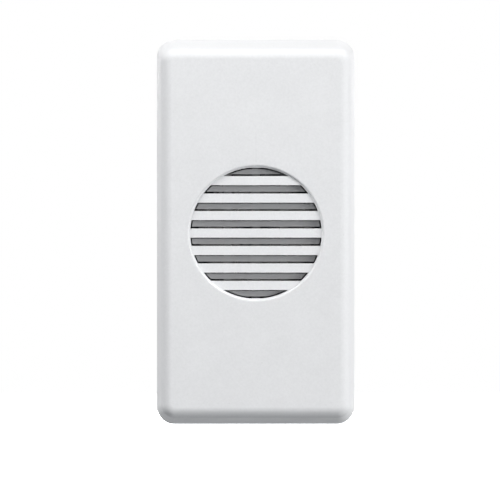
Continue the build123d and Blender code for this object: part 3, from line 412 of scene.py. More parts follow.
metalWear = {
    "edgeReach": 0.12 * mm, "patchSize": 0.6 * mm, "brighter": 1.2,
    "cloudSize": 2.2 * mm, "cloudLimits": (0.42, 0.72), "cloudRougher": 0.16,
}
zincLook = {
    "tone": (0.50, 0.51, 0.53), "roughness": 0.36, "stretch": (1, 20, 20), "lineSize": 1.5 * mm,
    "depth": 0.002 * mm, "unevenness": 0.12, "tarnish": (0.40, 0.38, 0.32), "tarnished": 0.20, "wear": 0.3,
}
ironLook = {
    "tone": (0.38, 0.38, 0.39), "roughness": 0.45, "stretch": (4, 4, 4), "lineSize": 0.5 * mm,
    "depth": 0.002 * mm, "unevenness": 0.12, "tarnish": (0.26, 0.24, 0.22), "tarnished": 0.35, "wear": 0.3,
}
springLook = {
    "tone": (0.55, 0.55, 0.56), "roughness": 0.28, "stretch": (20, 1, 20), "lineSize": 1.5 * mm,
    "depth": 0.002 * mm, "unevenness": 0.12, "tarnish": (0.30, 0.28, 0.25), "tarnished": 0.15, "wear": 0.3,
}
brassLook = {
    "tone": (0.76, 0.60, 0.30), "roughness": 0.30, "stretch": (1, 20, 20), "lineSize": 1.5 * mm,
    "depth": 0.002 * mm, "unevenness": 0.12, "tarnish": (0.42, 0.28, 0.12), "tarnished": 0.35, "wear": 0.3,
}
solderLook = {
    "tone": (0.60, 0.60, 0.61), "roughness": 0.25, "stretch": (3, 3, 3), "lineSize": 0.4 * mm,
    "depth": 0.006 * mm, "unevenness": 0.10, "tarnish": (0.36, 0.35, 0.33), "tarnished": 0.30, "wear": 0.0,
}


def makeMetal(name, ownLook):
    look = {**metalWear, **ownLook}
    material, tree, shader, place = startMaterial(name, look, Metallic=1.0)
    lines = placeGroup(tree, drawnLines, {
        "Place": place, "Stretch": look["stretch"], "Size": look["lineSize"],
        "Unevenness": look["unevenness"],
    })
    rubbed = placeGroup(tree, edgeWear, {
        "Place": place, "Reach": look["edgeReach"], "Patch Size": look["patchSize"], "Amount": look["wear"],
    })
    clouds = noise(tree, place, look["cloudSize"], detail=4.0, roughness=0.65)
    cloud = remap(tree, clouds, *look["cloudLimits"])
    base = scaled(tree, look["tone"], lines["Shade"])
    dullMask = calc(tree, "MULTIPLY", cloud, look["tarnished"])
    dull = blendColours(tree, dullMask, base, colour(look["tarnish"]))
    rough = look["roughness"] + look["cloudRougher"]
    plugIn(tree, shader, {
        "Base Color": blendColours(tree, rubbed["Mask"], dull, toned(look["tone"], look["brighter"])),
        "Roughness": remap(tree, cloud, 0.0, 1.0, look["roughness"], rough),
    })
    addRelief(tree, shader, lines["Height"], look["depth"])
    return material


# Gong: dull nickel plate over turned steel, a little hazy

gongLook = {
    "tone": (0.33, 0.33, 0.325), "haze": (0.24, 0.23, 0.21), "roughness": 0.24,
    "ringSize": 0.10 * mm, "unevenness": 0.10, "depth": 0.0016 * mm,
    "hazeSize": 3.0 * mm, "hazeLimits": (0.40, 0.70), "hazeStrength": 0.12, "hazeRougher": 0.12,
}


def makeGongFinish(look):
    material, tree, shader, place = startMaterial("gongFinish", look, Metallic=1.0)
    rings = placeGroup(tree, turnedRings, {
        "Place": place, "Size": look["ringSize"], "Unevenness": look["unevenness"],
    })
    clouds = noise(tree, place, look["hazeSize"], detail=4.0, roughness=0.6)
    haze = remap(tree, clouds, *look["hazeLimits"])
    base = scaled(tree, look["tone"], rings["Shade"])
    hazeMask = calc(tree, "MULTIPLY", haze, look["hazeStrength"])
    rough = look["roughness"] + look["hazeRougher"]
    plugIn(tree, shader, {
        "Base Color": blendColours(tree, hazeMask, base, colour(look["haze"])),
        "Roughness": remap(tree, haze, 0.0, 1.0, look["roughness"], rough),
    })
    addRelief(tree, shader, rings["Height"], look["depth"])
    return material


# Rubber with a grey bloom

rubberLook = {
    "tone": (0.028, 0.028, 0.029), "bloom": (0.12, 0.12, 0.12), "roughness": 0.75, "bloomSize": 0.9 * mm,
    "bloomStrength": 0.25, "bloomRoughness": (0.62, 0.85), "grain": 0.10 * mm, "depth": 0.004 * mm,
}


def makeRubberFinish(look):
    material, tree, shader, place = startMaterial("rubberFinish", look)
    patches = noise(tree, place, look["bloomSize"], detail=5.0, roughness=0.7)
    bloom = remap(tree, patches, low=0.45, high=0.75)
    bloomMask = calc(tree, "MULTIPLY", bloom, look["bloomStrength"])
    plugIn(tree, shader, {
        "Base Color": blendColours(tree, bloomMask, colour(look["tone"]), colour(look["bloom"])),
        "Roughness": remap(tree, bloom, 0.0, 1.0, *look["bloomRoughness"]),
    })
    addRelief(tree, shader, noise(tree, place, look["grain"], detail=3.0, roughness=0.6), look["depth"])
    return material


# Pressed fibre with lighter strands

fibreLook = {
    "tone": (0.30, 0.09, 0.06), "strand": (0.50, 0.19, 0.12), "roughness": 0.80,
    "strandStretch": (1.0, 8.0, 2.5), "strandSize": 0.5 * mm, "depth": 0.006 * mm,
}


def makeFibreFinish(look):
    material, tree, shader, place = startMaterial("fibreFinish", look)
    stretched = scaled(tree, place, look["strandStretch"])
    strands = noise(tree, stretched, look["strandSize"], detail=6.0, roughness=0.7)
    share = remap(tree, strands, low=0.3, high=0.7)
    plugIn(tree, shader, {
        "Base Color": blendColours(tree, share, colour(look["tone"]), colour(look["strand"])),
    })
    addRelief(tree, shader, strands, look["depth"])
    return material


# Coil tape: glossy film with ribs from the turns under it, and creases

tapeLook = {
    "tone": (0.80, 0.60, 0.10), "crease": (0.66, 0.43, 0.08), "roughness": 0.22, "coat": 0.4,
    "coatRoughness": 0.12, "ribStretch": (1.0, 1.0, 14.0), "ribSize": 2.2 * mm, "creaseSize": 1.4 * mm,
    "creaseRoughness": (0.16, 0.34), "depth": 0.02 * mm,
}


def makeTapeFinish(look):
    coat = {"Coat Weight": look["coat"], "Coat Roughness": look["coatRoughness"]}
    material, tree, shader, place = startMaterial("tapeFinish", look, **coat)
    stretched = scaled(tree, place, look["ribStretch"])
    ribs = noise(tree, stretched, look["ribSize"], detail=3.0, roughness=0.6)
    creases = noise(tree, place, look["creaseSize"], detail=5.0, roughness=0.7)
    share = remap(tree, creases, low=0.35, high=0.70)
    plugIn(tree, shader, {
        "Base Color": blendColours(tree, share, colour(look["tone"]), colour(look["crease"])),
        "Roughness": remap(tree, creases, 0.3, 0.7, *look["creaseRoughness"]),
    })
    addRelief(tree, shader, calc(tree, "ADD", ribs, creases), look["depth"])
    return material


# Insulation of the two leads, scuffed

leadWear = {
    "coat": 0.2, "coatRoughness": 0.2, "scuffSize": 0.7 * mm, "scuffStrength": 0.5,
    "scuffTone": (0.8, 0.06), "scuffRoughness": (0.30, 0.55), "depth": 0.004 * mm,
}
redLeadLook = {"tone": (0.55, 0.04, 0.03), "roughness": 0.38}
blackLeadLook = {"tone": (0.03, 0.03, 0.03), "roughness": 0.38}


def makeLeadFinish(name, ownLook):
    look = {**leadWear, **ownLook}
    coat = {"Coat Weight": look["coat"], "Coat Roughness": look["coatRoughness"]}
    material, tree, shader, place = startMaterial(name, look, **coat)
    scuffs = noise(tree, place, look["scuffSize"], detail=5.0, roughness=0.7)
    share = remap(tree, scuffs, 0.45, 0.80, 0.0, look["scuffStrength"])
    lighter = toned(look["tone"], *look["scuffTone"])
    plugIn(tree, shader, {
        "Base Color": blendColours(tree, share, colour(look["tone"]), lighter),
        "Roughness": remap(tree, scuffs, 0.3, 0.8, *look["scuffRoughness"]),
    })
    addRelief(tree, shader, scuffs, look["depth"])
    return material


# Enamelled copper wire

enamelLook = {
    "tone": (0.72, 0.27, 0.11), "dark": (0.50, 0.15, 0.06), "roughness": 0.28, "metallic": 0.9, "coat": 0.7,
    "coatRoughness": 0.15, "patchSize": 1.8 * mm, "patchRoughness": (0.22, 0.36),
}


def makeEnamelFinish(look):
    material, tree, shader, place = startMaterial("enamelFinish", look, **{
        "Metallic": look["metallic"], "Coat Weight": look["coat"], "Coat Roughness": look["coatRoughness"],
    })
    patches = noise(tree, place, look["patchSize"], detail=4.0, roughness=0.6)
    share = remap(tree, patches, low=0.35, high=0.7)
    plugIn(tree, shader, {
        "Base Color": blendColours(tree, share, colour(look["tone"]), colour(look["dark"])),
        "Roughness": remap(tree, patches, 0.3, 0.7, *look["patchRoughness"]),
    })
    return material


finishes = {
    "cover_white": makeCoverFinish(coverLook),
    "baffle_grey": makePlastic("louvreFinish", louvreLook),
    "housing_grey": makePlastic("housingFinish", housingLook),
    "cap_grey": makePlastic("capFinish", capLook),
    "frame_black": makePlastic("plateFinish", plateLook),
    "bobbin_natural": makePlastic("bobbinFinish", bobbinLook),
    "gong_nickel": makeGongFinish(gongLook),
    "zinc_steel": makeMetal("zincFinish", zincLook),
    "soft_iron": makeMetal("ironFinish", ironLook),
    "spring_steel": makeMetal("springFinish", springLook),
    "terminal_brass": makeMetal("brassFinish", brassLook),
    "winding_copper": makeEnamelFinish(enamelLook),
    "coil_tape_yellow": makeTapeFinish(tapeLook),
    "lead_red": makeLeadFinish("redLeadFinish", redLeadLook),
    "lead_black": makeLeadFinish("blackLeadFinish", blackLeadLook),
    "washer_fibre": makeFibreFinish(fibreLook),
    "stop_rubber": makeRubberFinish(rubberLook),
}
solderFinish = makeMetal("solderFinish", solderLook)
for name, slot in slotOf.items():
    mesh = nodes[name].data
    mesh.materials.clear()
    mesh.materials.append(finishes[slot])
print("finishes made:", len(finishes) + 1)


# Helpers for pieces: Geometry Nodes trees, the meshes they grow and the pieces made of those

def startTree(name, sizes):
    tree = bpy.data.node_groups.new(name, "GeometryNodeTree")
    addInputs(tree, {**sizes, "Place": origin, "Turn": origin})
    tree.interface.new_socket(name="Finish", in_out="INPUT", socket_type="NodeSocketMaterial")
    tree.interface.new_socket(name="Shape", in_out="OUTPUT", socket_type="NodeSocketGeometry")
    return tree, tree.nodes.new("NodeGroupInput").outputs, tree.nodes.new("NodeGroupOutput")


def moved(tree, shape, by):
    return addNode(tree, "GeometryNodeTransform", {0: shape, "Translation": by}).outputs[0]


def endTree(tree, given, ending, shape):
    turned = addNode(tree, "GeometryNodeTransform", {0: shape, "Rotation": given["Turn"]}).outputs[0]
    placed = moved(tree, turned, given["Place"])
    single = addNode(tree, "GeometryNodeRealizeInstances", {0: placed}).outputs[0]
    dressed = addNode(tree, "GeometryNodeSetMaterial", {"Geometry": single, "Material": given["Finish"]})
    plugIn(tree, ending, {"Shape": dressed.outputs[0]})
    return tree


def half(tree, length):
    return calc(tree, "MULTIPLY", length, 0.5)


def upright(tree, line):
    return addNode(tree, "GeometryNodeSetCurveNormal", {0: line}, mode="Z_UP").outputs[0]


def spiral(tree, radius, height, turns, steps, endRadius=None):
    sizes = {
        "Resolution": steps, "Rotations": turns, "Height": height,
        "Start Radius": radius, "End Radius": radius if endRadius is None else endRadius,
    }
    return upright(tree, addNode(tree, "GeometryNodeCurveSpiral", sizes).outputs[0])


def roundSection(tree, radius, sides):
    sizes = {"Resolution": sides, "Radius": radius}
    return addNode(tree, "GeometryNodeCurvePrimitiveCircle", sizes).outputs[0]


def flatSection(tree, width, height):
    sizes = {"Width": width, "Height": height}
    return addNode(tree, "GeometryNodeCurvePrimitiveQuadrilateral", sizes).outputs[0]


def sweep(tree, line, section):
    sizes = {"Curve": line, "Profile Curve": section, "Fill Caps": True}
    return addNode(tree, "GeometryNodeCurveToMesh", sizes).outputs[0]


def plainMesh(holder):
    depsgraph = bpy.context.evaluated_depsgraph_get()
    return bpy.data.meshes.new_from_object(holder.evaluated_get(depsgraph), depsgraph=depsgraph)


def grow(name, tree, values):
    seed = bpy.data.objects.new(name, bpy.data.meshes.new(name))
    scene.collection.objects.link(seed)
    modifier = seed.modifiers.new(name, "NODES")
    modifier.node_group = tree
    for socket in tree.interface.items_tree:
        if socket.in_out == "INPUT" and socket.name in values:
            modifier[socket.identifier] = values[socket.name]
    grown = plainMesh(seed)
    seed.modifiers.remove(modifier)
    bpy.data.objects.remove(seed)
    return grown


def makePiece(name, meshes, finish, body, replaced=None, sharpAngle=math.radians(40)):
    shape = bmesh.new()
    for mesh in meshes:
        shape.from_mesh(mesh)
    for face in shape.faces:
        face.smooth = True
        face.material_index = 0
    joined = bpy.data.meshes.new(name)
    shape.to_mesh(joined)
    shape.free()
    joined.set_sharp_from_angle(angle=sharpAngle)
    joined.materials.clear()
    joined.materials.append(finish)
    piece = bpy.data.objects.new(name, joined)
    scene.collection.objects.link(piece)
    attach(piece, body)
    if replaced:
        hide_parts(replaced)


def span(name):
    corners = [vertex.co for vertex in nodes[name].data.vertices]
    low = Vector([min(corner[axis] for corner in corners) for axis in range(3)])
    high = Vector([max(corner[axis] for corner in corners) for axis in range(3)])
    return low, high, (low + high) / 2


# Winding: close turns of enamelled wire over a packed core, with a spiral wrap of tape that leaves the
# first and last turns open

windingSizes = {
    "wireRadius": 0.15 * mm,
    "stepsPerTurn": 56,
    "wireSides": 6,
    "coreRadius": 3.50 * mm,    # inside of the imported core
    "tapeMargin": 0.75 * mm,    # what it leaves open at each end
    "tapeThickness": 0.07 * mm,
    "tapeLift": 0.6,            # of its thickness, from the winding to the tape's middle
    "tapeTurns": 1.16,
    "tapeStart": 2.4,           # radians
}


def closeTurnsTree():
    tree, given, ending = startTree("closeTurns", {
        "Radius": 6.0 * mm, "Height": 10.0 * mm, "Turns": 20.0, "Wire Radius": 0.15 * mm,
        "Steps": 48, "Sides": 6,
    })
    middle = calc(tree, "SUBTRACT", given["Radius"], given["Wire Radius"])
    climb = calc(tree, "MULTIPLY_ADD", given["Wire Radius"], -2.0, given["Height"])
    line = spiral(tree, middle, climb, given["Turns"], given["Steps"])
    raised = moved(tree, line, offset(tree, "Z", given["Wire Radius"]))
    wire = sweep(tree, raised, roundSection(tree, given["Wire Radius"], given["Sides"]))
    return endTree(tree, given, ending, wire)


def packedRingTree():
    tree, given, ending = startTree("packedRing", {
        "Inside": 3.5 * mm, "Outside": 5.8 * mm, "Height": 10.0 * mm, "Sides": 64,
    })
    middle = half(tree, calc(tree, "ADD", given["Inside"], given["Outside"]))
    thickness = calc(tree, "SUBTRACT", given["Outside"], given["Inside"])
    circle = upright(tree, roundSection(tree, middle, given["Sides"]))
    ring = sweep(tree, circle, flatSection(tree, thickness, given["Height"]))
    raised = moved(tree, ring, offset(tree, "Z", half(tree, given["Height"])))
    return endTree(tree, given, ending, raised)


def tapeWrapTree():
    tree, given, ending = startTree("tapeWrap", {
        "Radius": 6.0 * mm, "Width": 10.0 * mm, "Thickness": 0.07 * mm, "Layer Pitch": 1.05, "Turns": 1.16,
        "Steps": 72,
    })
    layer = calc(tree, "MULTIPLY", given["Thickness"], given["Layer Pitch"])
    endRadius = calc(tree, "ADD", given["Radius"], calc(tree, "MULTIPLY", layer, given["Turns"]))
    line = spiral(tree, given["Radius"], 0.0, given["Turns"], given["Steps"], endRadius)
    strip = sweep(tree, line, flatSection(tree, given["Thickness"], given["Width"]))
    raised = moved(tree, strip, offset(tree, "Z", half(tree, given["Width"])))
    return endTree(tree, given, ending, raised)


closeTurns = closeTurnsTree()
packedRing = packedRingTree()
tapeWrap = tapeWrapTree()


def makeWinding(sizes):
    low, high, middle = span("coil_winding")
    radius = high.x
    height = high.z - low.z
    place = (middle.x, middle.y, low.z)
    finish = finishes["winding_copper"]
    wire = grow("windingTurns", closeTurns, {
        "Radius": radius, "Height": height, "Turns": height / (2 * sizes["wireRadius"]) - 1,
        "Wire Radius": sizes["wireRadius"], "Steps": sizes["stepsPerTurn"], "Sides": sizes["wireSides"],
        "Place": place, "Finish": finish,
    })
    core = grow("windingCore", packedRing, {
        "Inside": sizes["coreRadius"], "Outside": radius - sizes["wireRadius"], "Height": height,
        "Place": place, "Finish": finish,
    })
    makePiece("winding_turns", [core, wire], finish, "root", "coil_winding")


def makeTape(sizes):
    low, high, middle = span("coil_tape")
    finish = finishes["coil_tape_yellow"]
    strip = grow("tapeStrip", tapeWrap, {
        "Radius": span("coil_winding")[1].x + sizes["tapeThickness"] * sizes["tapeLift"],
        "Width": high.z - low.z - 2 * sizes["tapeMargin"],
        "Thickness": sizes["tapeThickness"], "Turns": sizes["tapeTurns"],
        "Place": (middle.x, middle.y, low.z + sizes["tapeMargin"]),
        "Turn": (0.0, 0.0, sizes["tapeStart"]), "Finish": finish,
    })
    makePiece("tape_wrap", [strip], finish, "root", "coil_tape")


makeWinding(windingSizes)
makeTape(windingSizes)
print("winding and tape made")


# Solder on the coil's pins, with the winding's ends wrapped round them and led up over the flange

jointSizes = {
    "wireRadius": 0.09 * mm,
    "stepsPerTurn": 24,
    "wireSides": 6,
    "wraps": 3.5,
    "wrapLength": 0.75 * mm,
    "wrapStand": 0.12 * mm,         # from the bobbin to the wraps
    "bend": 0.15 * mm,              # from the pin up to where the wire turns along the bobbin
    "leans": (0.97, 0.93),          # how far it leans in, as shares of the pin's place
    "flangeSteps": (-0.05 * mm, 0.25 * mm, 0.35 * mm, 0.45 * mm),    # heights over the winding's lower end
    "overFlange": 0.35 * mm,
    "landAngle": 0.42,              # radians from the winding's front, where it meets the turns
    "tailShare": 0.4,               # of that place, where its tail ends
    "dropSize": (0.56 * mm, 0.62 * mm, 0.66 * mm),
    "dropSink": 0.10 * mm,          # how far the drop's middle is below the pin's
    "leadGap": 0.50 * mm,           # from the pin's tip to the middle of the lead
    "unevenness": 0.10 * mm,
    "patchSize": 0.55 * mm,
}


def solderDropTree():
    tree, given, ending = startTree("solderDrop", {
        "Size": (0.5 * mm, 0.5 * mm, 0.5 * mm), "Unevenness": 0.05 * mm, "Patch Size": 0.5 * mm, "Seed": 1.0,
        "Segments": 28, "Rings": 16,
    })
    ball = addNode(tree, "GeometryNodeMeshUVSphere", {
        "Segments": given["Segments"], "Rings": given["Rings"], "Radius": 1.0,
    }).outputs[0]
    spot = addNode(tree, "GeometryNodeInputPosition").outputs[0]
    size = scaled(tree, spot, given["Size"])
    scale = calc(tree, "DIVIDE", 1.0, given["Patch Size"])
    settings = {"Vector": size, "W": given["Seed"], "Scale": scale, "Detail": 1.0}
    blob = addNode(tree, "ShaderNodeTexNoise", settings, noise_dimensions="4D").outputs[0]
    push = swing(tree, blob, given["Unevenness"])
    outward = addNode(tree, "ShaderNodeVectorMath", {0: spot, "Scale": push}, operation="SCALE").outputs[0]
    melted = addNode(tree, "ShaderNodeVectorMath", {0: size, 1: outward}, operation="ADD").outputs[0]
    drop = addNode(tree, "GeometryNodeSetPosition", {"Geometry": ball, "Position": melted}).outputs[0]
    return endTree(tree, given, ending, drop)


solderDrop = solderDropTree()


def wireAlong(name, radius, points):
    line = bpy.data.curves.new(name, "CURVE")
    line.dimensions = "3D"
    line.bevel_depth = radius
    line.bevel_resolution = 2
    line.use_fill_caps = True
    stretch = line.splines.new("NURBS")
    stretch.points.add(len(points) - 1)
    for point, place in zip(stretch.points, points):
        point.co = (*place, 1.0)
    stretch.order_u = 3
    stretch.use_endpoint_u = True
    stretch.resolution_u = 6
    holder = bpy.data.objects.new(name, line)
    scene.collection.objects.link(holder)
    mesh = plainMesh(holder)
    bpy.data.objects.remove(holder)
    return mesh


# From the last wrap on a pin, up the bobbin's front and over its flange to the first turn
def windingEndRoute(sizes, side, pin, pinRadius, bobbinFront):
    low, high, middle = span("coil_winding")
    reach = high.x + sizes["wireRadius"] / 2
    top = pin.z + pinRadius + sizes["wireRadius"]
    front = bobbinFront - sizes["wireRadius"]
    landX = side * reach * math.sin(sizes["landAngle"])
    landY = middle.y - reach * math.cos(sizes["landAngle"])
    firstLean, secondLean = sizes["leans"]
    climbs = [low.z + step for step in sizes["flangeSteps"]]
    return [
        (pin.x, front - 2 * sizes["wireRadius"], top),
        (pin.x, front, top + sizes["bend"]),
        (pin.x * firstLean, front, climbs[0]),
        (pin.x * secondLean, front + sizes["overFlange"], climbs[1]),
        (landX, landY, climbs[2]),
        (landX * sizes["tailShare"], middle.y - reach, climbs[3]),
    ]


def makeJoints(sizes):
    low, high, middle = span("coil_pins")
    pinRadius = (high.z - low.z) / 2
    bobbinFront = span("coil_bobbin")[0].y
    wrapStart = bobbinFront - sizes["wrapStand"] - sizes["wrapLength"]
    copper = finishes["winding_copper"]
    drops = []
    wires = []
    for number, side in enumerate((-1, 1)):
        pin = Vector((side * (high.x - pinRadius), low.y, middle.z))
        drops.append(grow("drop", solderDrop, {
            "Size": sizes["dropSize"], "Unevenness": sizes["unevenness"], "Patch Size": sizes["patchSize"],
            "Seed": 1.0 + number, "Finish": solderFinish,
            "Place": (pin.x, pin.y + sizes["leadGap"], pin.z - sizes["dropSink"]),
        }))
        wires.append(grow("pinWraps", closeTurns, {
            "Radius": pinRadius + 2 * sizes["wireRadius"], "Height": sizes["wrapLength"],
            "Turns": sizes["wraps"], "Wire Radius": sizes["wireRadius"],
            "Steps": sizes["stepsPerTurn"], "Sides": sizes["wireSides"],
            "Place": (pin.x, wrapStart, pin.z), "Turn": (-quarterTurn, 0.0, 0.0), "Finish": copper,
        }))
        route = windingEndRoute(sizes, side, pin, pinRadius, bobbinFront)
        wires.append(wireAlong("windingEnd", sizes["wireRadius"], route))
    makePiece("solder_joints", drops, solderFinish, "root")
    makePiece("winding_ends", wires, copper, "root")


makeJoints(jointSizes)
print("pins wired and soldered")


# Screws: the CAD head, cut off behind its seat, on a shank with a real thread. The head is at the rear
# where headEnd is 1 and at the front where it is -1. A headRadius is given where the node is a pair.

screwSizes = {
    "terminal_screw_left": {"head": 1.6 * mm, "shank": 1.45 * mm, "pitch": 0.50 * mm, "headEnd": 1},
    "terminal_screw_right": {"head": 1.6 * mm, "shank": 1.45 * mm, "pitch": 0.50 * mm, "headEnd": 1},
    "yoke_screw": {"head": 1.3 * mm, "shank": 1.45 * mm, "pitch": 0.50 * mm, "headEnd": 1},
    "gong_screw": {"head": 0.9 * mm, "shank": 1.20 * mm, "pitch": 0.40 * mm, "headEnd": -1},
    "frame_screws": {
        "head": 1.0 * mm, "shank": 0.78 * mm, "pitch": 0.60 * mm, "headEnd": -1, "headRadius": 1.5 * mm,
    },
}
threadSizes = {
    "depthShare": 0.36,             # of the pitch
    "stepsPerTurn": 28,
    "stub": 0.08 * mm,              # what stays of the CAD shank behind the head
    "joinDistance": 0.002 * mm,     # vertices closer than this become one before the cut
}


def threadedRodTree():
    tree, given, ending = startTree("threadedRod", {
        "Crest Radius": 1.45 * mm, "Thread Depth": 0.18 * mm, "Pitch": 0.5 * mm, "Length": 5.0 * mm,
        "Plain Ends": 0.6, "Steps": 28, "Ridge Sides": 4,
    })
    root = calc(tree, "SUBTRACT", given["Crest Radius"], given["Thread Depth"])
    rod = addNode(tree, "GeometryNodeMeshCylinder", {
        "Vertices": given["Steps"], "Radius": root, "Depth": given["Length"],
    }).outputs[0]
    core = moved(tree, rod, offset(tree, "Z", half(tree, given["Length"])))
    plain = calc(tree, "MULTIPLY", given["Pitch"], given["Plain Ends"])
    climb = calc(tree, "MULTIPLY_ADD", plain, -2.0, given["Length"])
    line = spiral(tree, root, climb, calc(tree, "DIVIDE", climb, given["Pitch"]), given["Steps"])
    ridge = sweep(tree, line, roundSection(tree, given["Thread Depth"], given["Ridge Sides"]))
    both = addNode(tree, "GeometryNodeJoinGeometry")
    tree.links.new(core, both.inputs[0])
    tree.links.new(moved(tree, ridge, offset(tree, "Z", plain)), both.inputs[0])
    return endTree(tree, given, ending, both.outputs[0])


threadedRod = threadedRodTree()


def cutHead(name, cut, headEnd):
    shape = bmesh.new()
    shape.from_mesh(nodes[name].data)
    bmesh.ops.remove_doubles(shape, verts=shape.verts, dist=threadSizes["joinDistance"])
    everything = shape.verts[:] + shape.edges[:] + shape.faces[:]
    result = bmesh.ops.bisect_plane(shape, geom=everything, plane_co=(0, cut, 0), plane_no=(0, headEnd, 0),
                                    clear_inner=True)
    rims = [item for item in result["geom_cut"] if isinstance(item, bmesh.types.BMEdge)]
    bmesh.ops.holes_fill(shape, edges=rims)
    bmesh.ops.recalc_face_normals(shape, faces=shape.faces)
    head = bpy.data.meshes.new(name + "Head")
    shape.to_mesh(head)
    shape.free()
    return head


def makeScrew(name, sizes, body, slot):
    low, high, middle = span(name)
    headEnd = sizes["headEnd"]
    seat = high.y - sizes["head"] if headEnd > 0 else low.y + sizes["head"]
    tip = low.y if headEnd > 0 else high.y
    places = [middle.x]
    if "headRadius" in sizes:
        across = high.x - sizes["headRadius"]
        places = [-across, across]
    meshes = [cutHead(name, seat - headEnd * threadSizes["stub"], headEnd)]
    for place in places:
        meshes.append(grow(name + "Shank", threadedRod, {
            "Crest Radius": sizes["shank"], "Thread Depth": sizes["pitch"] * threadSizes["depthShare"],
            "Pitch": sizes["pitch"], "Length": abs(tip - seat), "Steps": threadSizes["stepsPerTurn"],
            "Place": (place, tip, middle.z), "Turn": (-headEnd * quarterTurn, 0.0, 0.0),
            "Finish": finishes[slot],
        }))
    makePiece(name + "_threaded", meshes, finishes[slot], body, name)


for screwName, screw in screwSizes.items():
    makeScrew(screwName, screw, bodyOf[screwName], slotOf[screwName])
print("screws threaded:", len(screwSizes))


# Ribs across the face of each clamp plate, which bite into the wire

clampRibSizes = {"count": 5, "inset": 0.75 * mm, "radius": 0.14 * mm, "endGap": 0.30 * mm, "sides": 10}


def ribRowTree():
    tree, given, ending = startTree("ribRow", {
        "Count": 5, "Row Length": 3.0 * mm, "Rib Length": 3.0 * mm, "Radius": 0.15 * mm, "Sides": 10,
    })
    row = addNode(tree, "GeometryNodeMeshLine", {
        "Count": given["Count"],
        "Start Location": offset(tree, "Z", calc(tree, "MULTIPLY", given["Row Length"], -0.5)),
        "Offset": offset(tree, "Z", half(tree, given["Row Length"])),       # the row's other end
    }, mode="END_POINTS").outputs[0]
    line = addNode(tree, "GeometryNodeCurvePrimitiveLine", {
        "Start": offset(tree, "X", calc(tree, "MULTIPLY", given["Rib Length"], -0.5)),
        "End": offset(tree, "X", half(tree, given["Rib Length"])),
    }).outputs[0]
    rib = sweep(tree, line, roundSection(tree, given["Radius"], given["Sides"]))
    ribs = addNode(tree, "GeometryNodeInstanceOnPoints", {"Points": row, "Instance": rib}).outputs[0]
    return endTree(tree, given, ending, ribs)


ribRow = ribRowTree()


def makeClampRibs(name, sizes):
    low, high, middle = span(name)
    finish = finishes[slotOf[name]]
    ribs = grow(name + "Ribs", ribRow, {
        "Count": sizes["count"], "Row Length": high.z - low.z - 2 * sizes["inset"],
        "Rib Length": high.x - low.x - 2 * sizes["endGap"],
        "Radius": sizes["radius"], "Sides": sizes["sides"],
        "Place": (middle.x, low.y, middle.z), "Finish": finish,
    })
    makePiece(name + "_ribs", [ribs], finish, bodyOf[name])


for clampName in ("clamp_plate_left", "clamp_plate_right"):
    makeClampRibs(clampName, clampRibSizes)
print("clamp ribs made")


# Camera: a long lens in front of the face, a little above and to the left of its middle

cameraSetup = {
    "lens": 500.0,
    "sensor": 36.0,
    "frameWidth": 57.01 * mm,       # what the picture's width shows in the seat plane
    "turn": math.radians(0.25),     # to the left
    "rise": math.radians(0.85),     # and up
    "shiftX": -0.0113,
    "shiftY": -0.0360,
    "clipStart": 1 * mm,
    "clipEnd": 20.0,
}


def makeCamera(setup):
    data = bpy.data.cameras.new("photoCamera")
    data.lens = setup["lens"]
    data.sensor_width = setup["sensor"]
    data.shift_x = setup["shiftX"]
    data.shift_y = setup["shiftY"]
    data.clip_start = setup["clipStart"]
    data.clip_end = setup["clipEnd"]
    camera = bpy.data.objects.new("photoCamera", data)
    scene.collection.objects.link(camera)
    distance = setup["frameWidth"] * setup["lens"] / setup["sensor"]
    aim = Matrix.Rotation(-setup["turn"], 4, "Z") @ Matrix.Rotation(-setup["rise"], 4, "X")
    camera.location = aim @ Vector((0, -distance, 0))
    camera.rotation_euler = (quarterTurn - setup["rise"], 0, -setup["turn"])
    scene.camera = camera


# Light: two small lamps above, a weak one in front, a large one on the right, one behind for the housing,
# and an even sky that viewers see as white

lampSetup = {
    "upperLeftLamp": {"place": (-0.157, -0.135, 0.242), "size": 0.14, "watts": 0.66},
    "upperRightLamp": {"place": (0.19, -0.18, 0.24), "size": 0.14, "watts": 0.21},
    "frontLamp": {"place": (-0.10, -0.45, 0.30), "size": 0.20, "watts": 0.16},
    "rightLamp": {"place": (0.51, -0.26, -0.03), "size": 0.30, "watts": 3.5},
    "rearLamp": {"place": (0.0, 0.60, 0.04), "size": 0.16, "watts": 2.0},
}
skySetup = {"tone": (0.97, 0.985, 1.0), "strength": 0.30}
white = (1.0, 1.0, 1.0, 1.0)


def makeLamp(name, setup):
    data = bpy.data.lights.new(name, "AREA")
    data.shape = "DISK"
    data.size = setup["size"]
    data.energy = setup["watts"]
    lamp = bpy.data.objects.new(name, data)
    lamp.location = setup["place"]
    lamp.rotation_euler = (-Vector(setup["place"])).to_track_quat("-Z", "Y").to_euler()
    scene.collection.objects.link(lamp)


def whiteForViewers(tree):
    rays = addNode(tree, "ShaderNodeLightPath").outputs
    seen = calc(tree, "MAXIMUM", rays["Is Camera Ray"], rays["Is Glossy Ray"])
    return calc(tree, "MAXIMUM", seen, rays["Is Transmission Ray"])


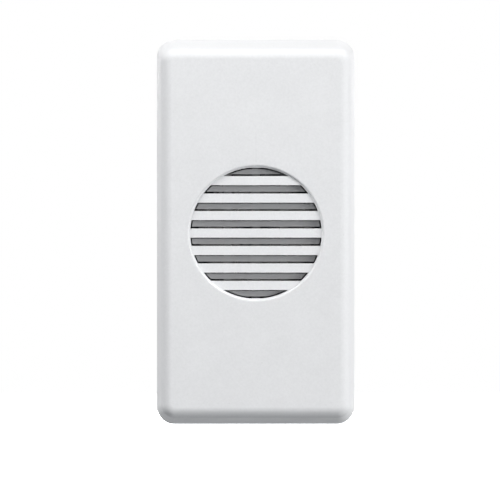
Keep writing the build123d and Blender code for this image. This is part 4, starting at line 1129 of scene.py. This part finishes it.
def makeSky(setup):
    world = bpy.data.worlds.new("studio")
    scene.world = world
    world.use_nodes = True
    tree = world.node_tree
    tree.nodes.clear()
    daylight = addNode(tree, "ShaderNodeBackground", {
        "Color": colour(setup["tone"]), "Strength": setup["strength"],
    })
    backdrop = addNode(tree, "ShaderNodeBackground", {"Color": white, "Strength": 1.0})
    mix = addNode(tree, "ShaderNodeMixShader", {
        0: whiteForViewers(tree), 1: daylight.outputs[0], 2: backdrop.outputs[0],
    })
    addNode(tree, "ShaderNodeOutputWorld", {"Surface": mix.outputs[0]})


# Floor: a round pale sheet under the object, which turns white towards its rim

floorSetup = {
    "level": -45 * mm,
    "radius": 0.70,
    "sides": 96,
    "tone": (0.24, 0.247, 0.256),
    "glowNear": 0.63,
    "glowFar": 1.0,
    "near": 0.05,
    "far": 0.34,
}


def makeFloorFinish(setup):
    material = bpy.data.materials.new("floorFinish")
    material.use_nodes = True
    tree = material.node_tree
    tree.nodes.clear()
    matt = addNode(tree, "ShaderNodeBsdfDiffuse", {"Color": colour(setup["tone"])})
    place = addNode(tree, "ShaderNodeTexCoord").outputs["Object"]
    away = addNode(tree, "ShaderNodeVectorMath", {0: place}, operation="LENGTH").outputs["Value"]
    brightness = remap(tree, away, setup["near"], setup["far"], setup["glowNear"], setup["glowFar"])
    glow = addNode(tree, "ShaderNodeEmission", {"Color": white, "Strength": brightness})
    both = addNode(tree, "ShaderNodeAddShader", {0: matt.outputs[0], 1: glow.outputs[0]})
    shown = addNode(tree, "ShaderNodeMixShader", {
        0: whiteForViewers(tree), 1: matt.outputs[0], 2: both.outputs[0],
    })
    addNode(tree, "ShaderNodeOutputMaterial", {"Surface": shown.outputs[0]})
    return material


def makeFloor(setup):
    shape = bmesh.new()
    bmesh.ops.create_circle(shape, cap_ends=True, segments=setup["sides"], radius=setup["radius"])
    sheet = bpy.data.meshes.new("floor")
    shape.to_mesh(sheet)
    shape.free()
    sheet.transform(Matrix.Translation((0, 0, setup["level"])))
    sheet.materials.append(makeFloorFinish(setup))
    floor = bpy.data.objects.new("floor", sheet)
    scene.collection.objects.link(floor)


makeCamera(cameraSetup)
for lampName, lampValues in lampSetup.items():
    makeLamp(lampName, lampValues)
makeSky(skySetup)
makeFloor(floorSetup)
scene.view_settings.view_transform = "Standard"
print("camera, lamps and floor made")
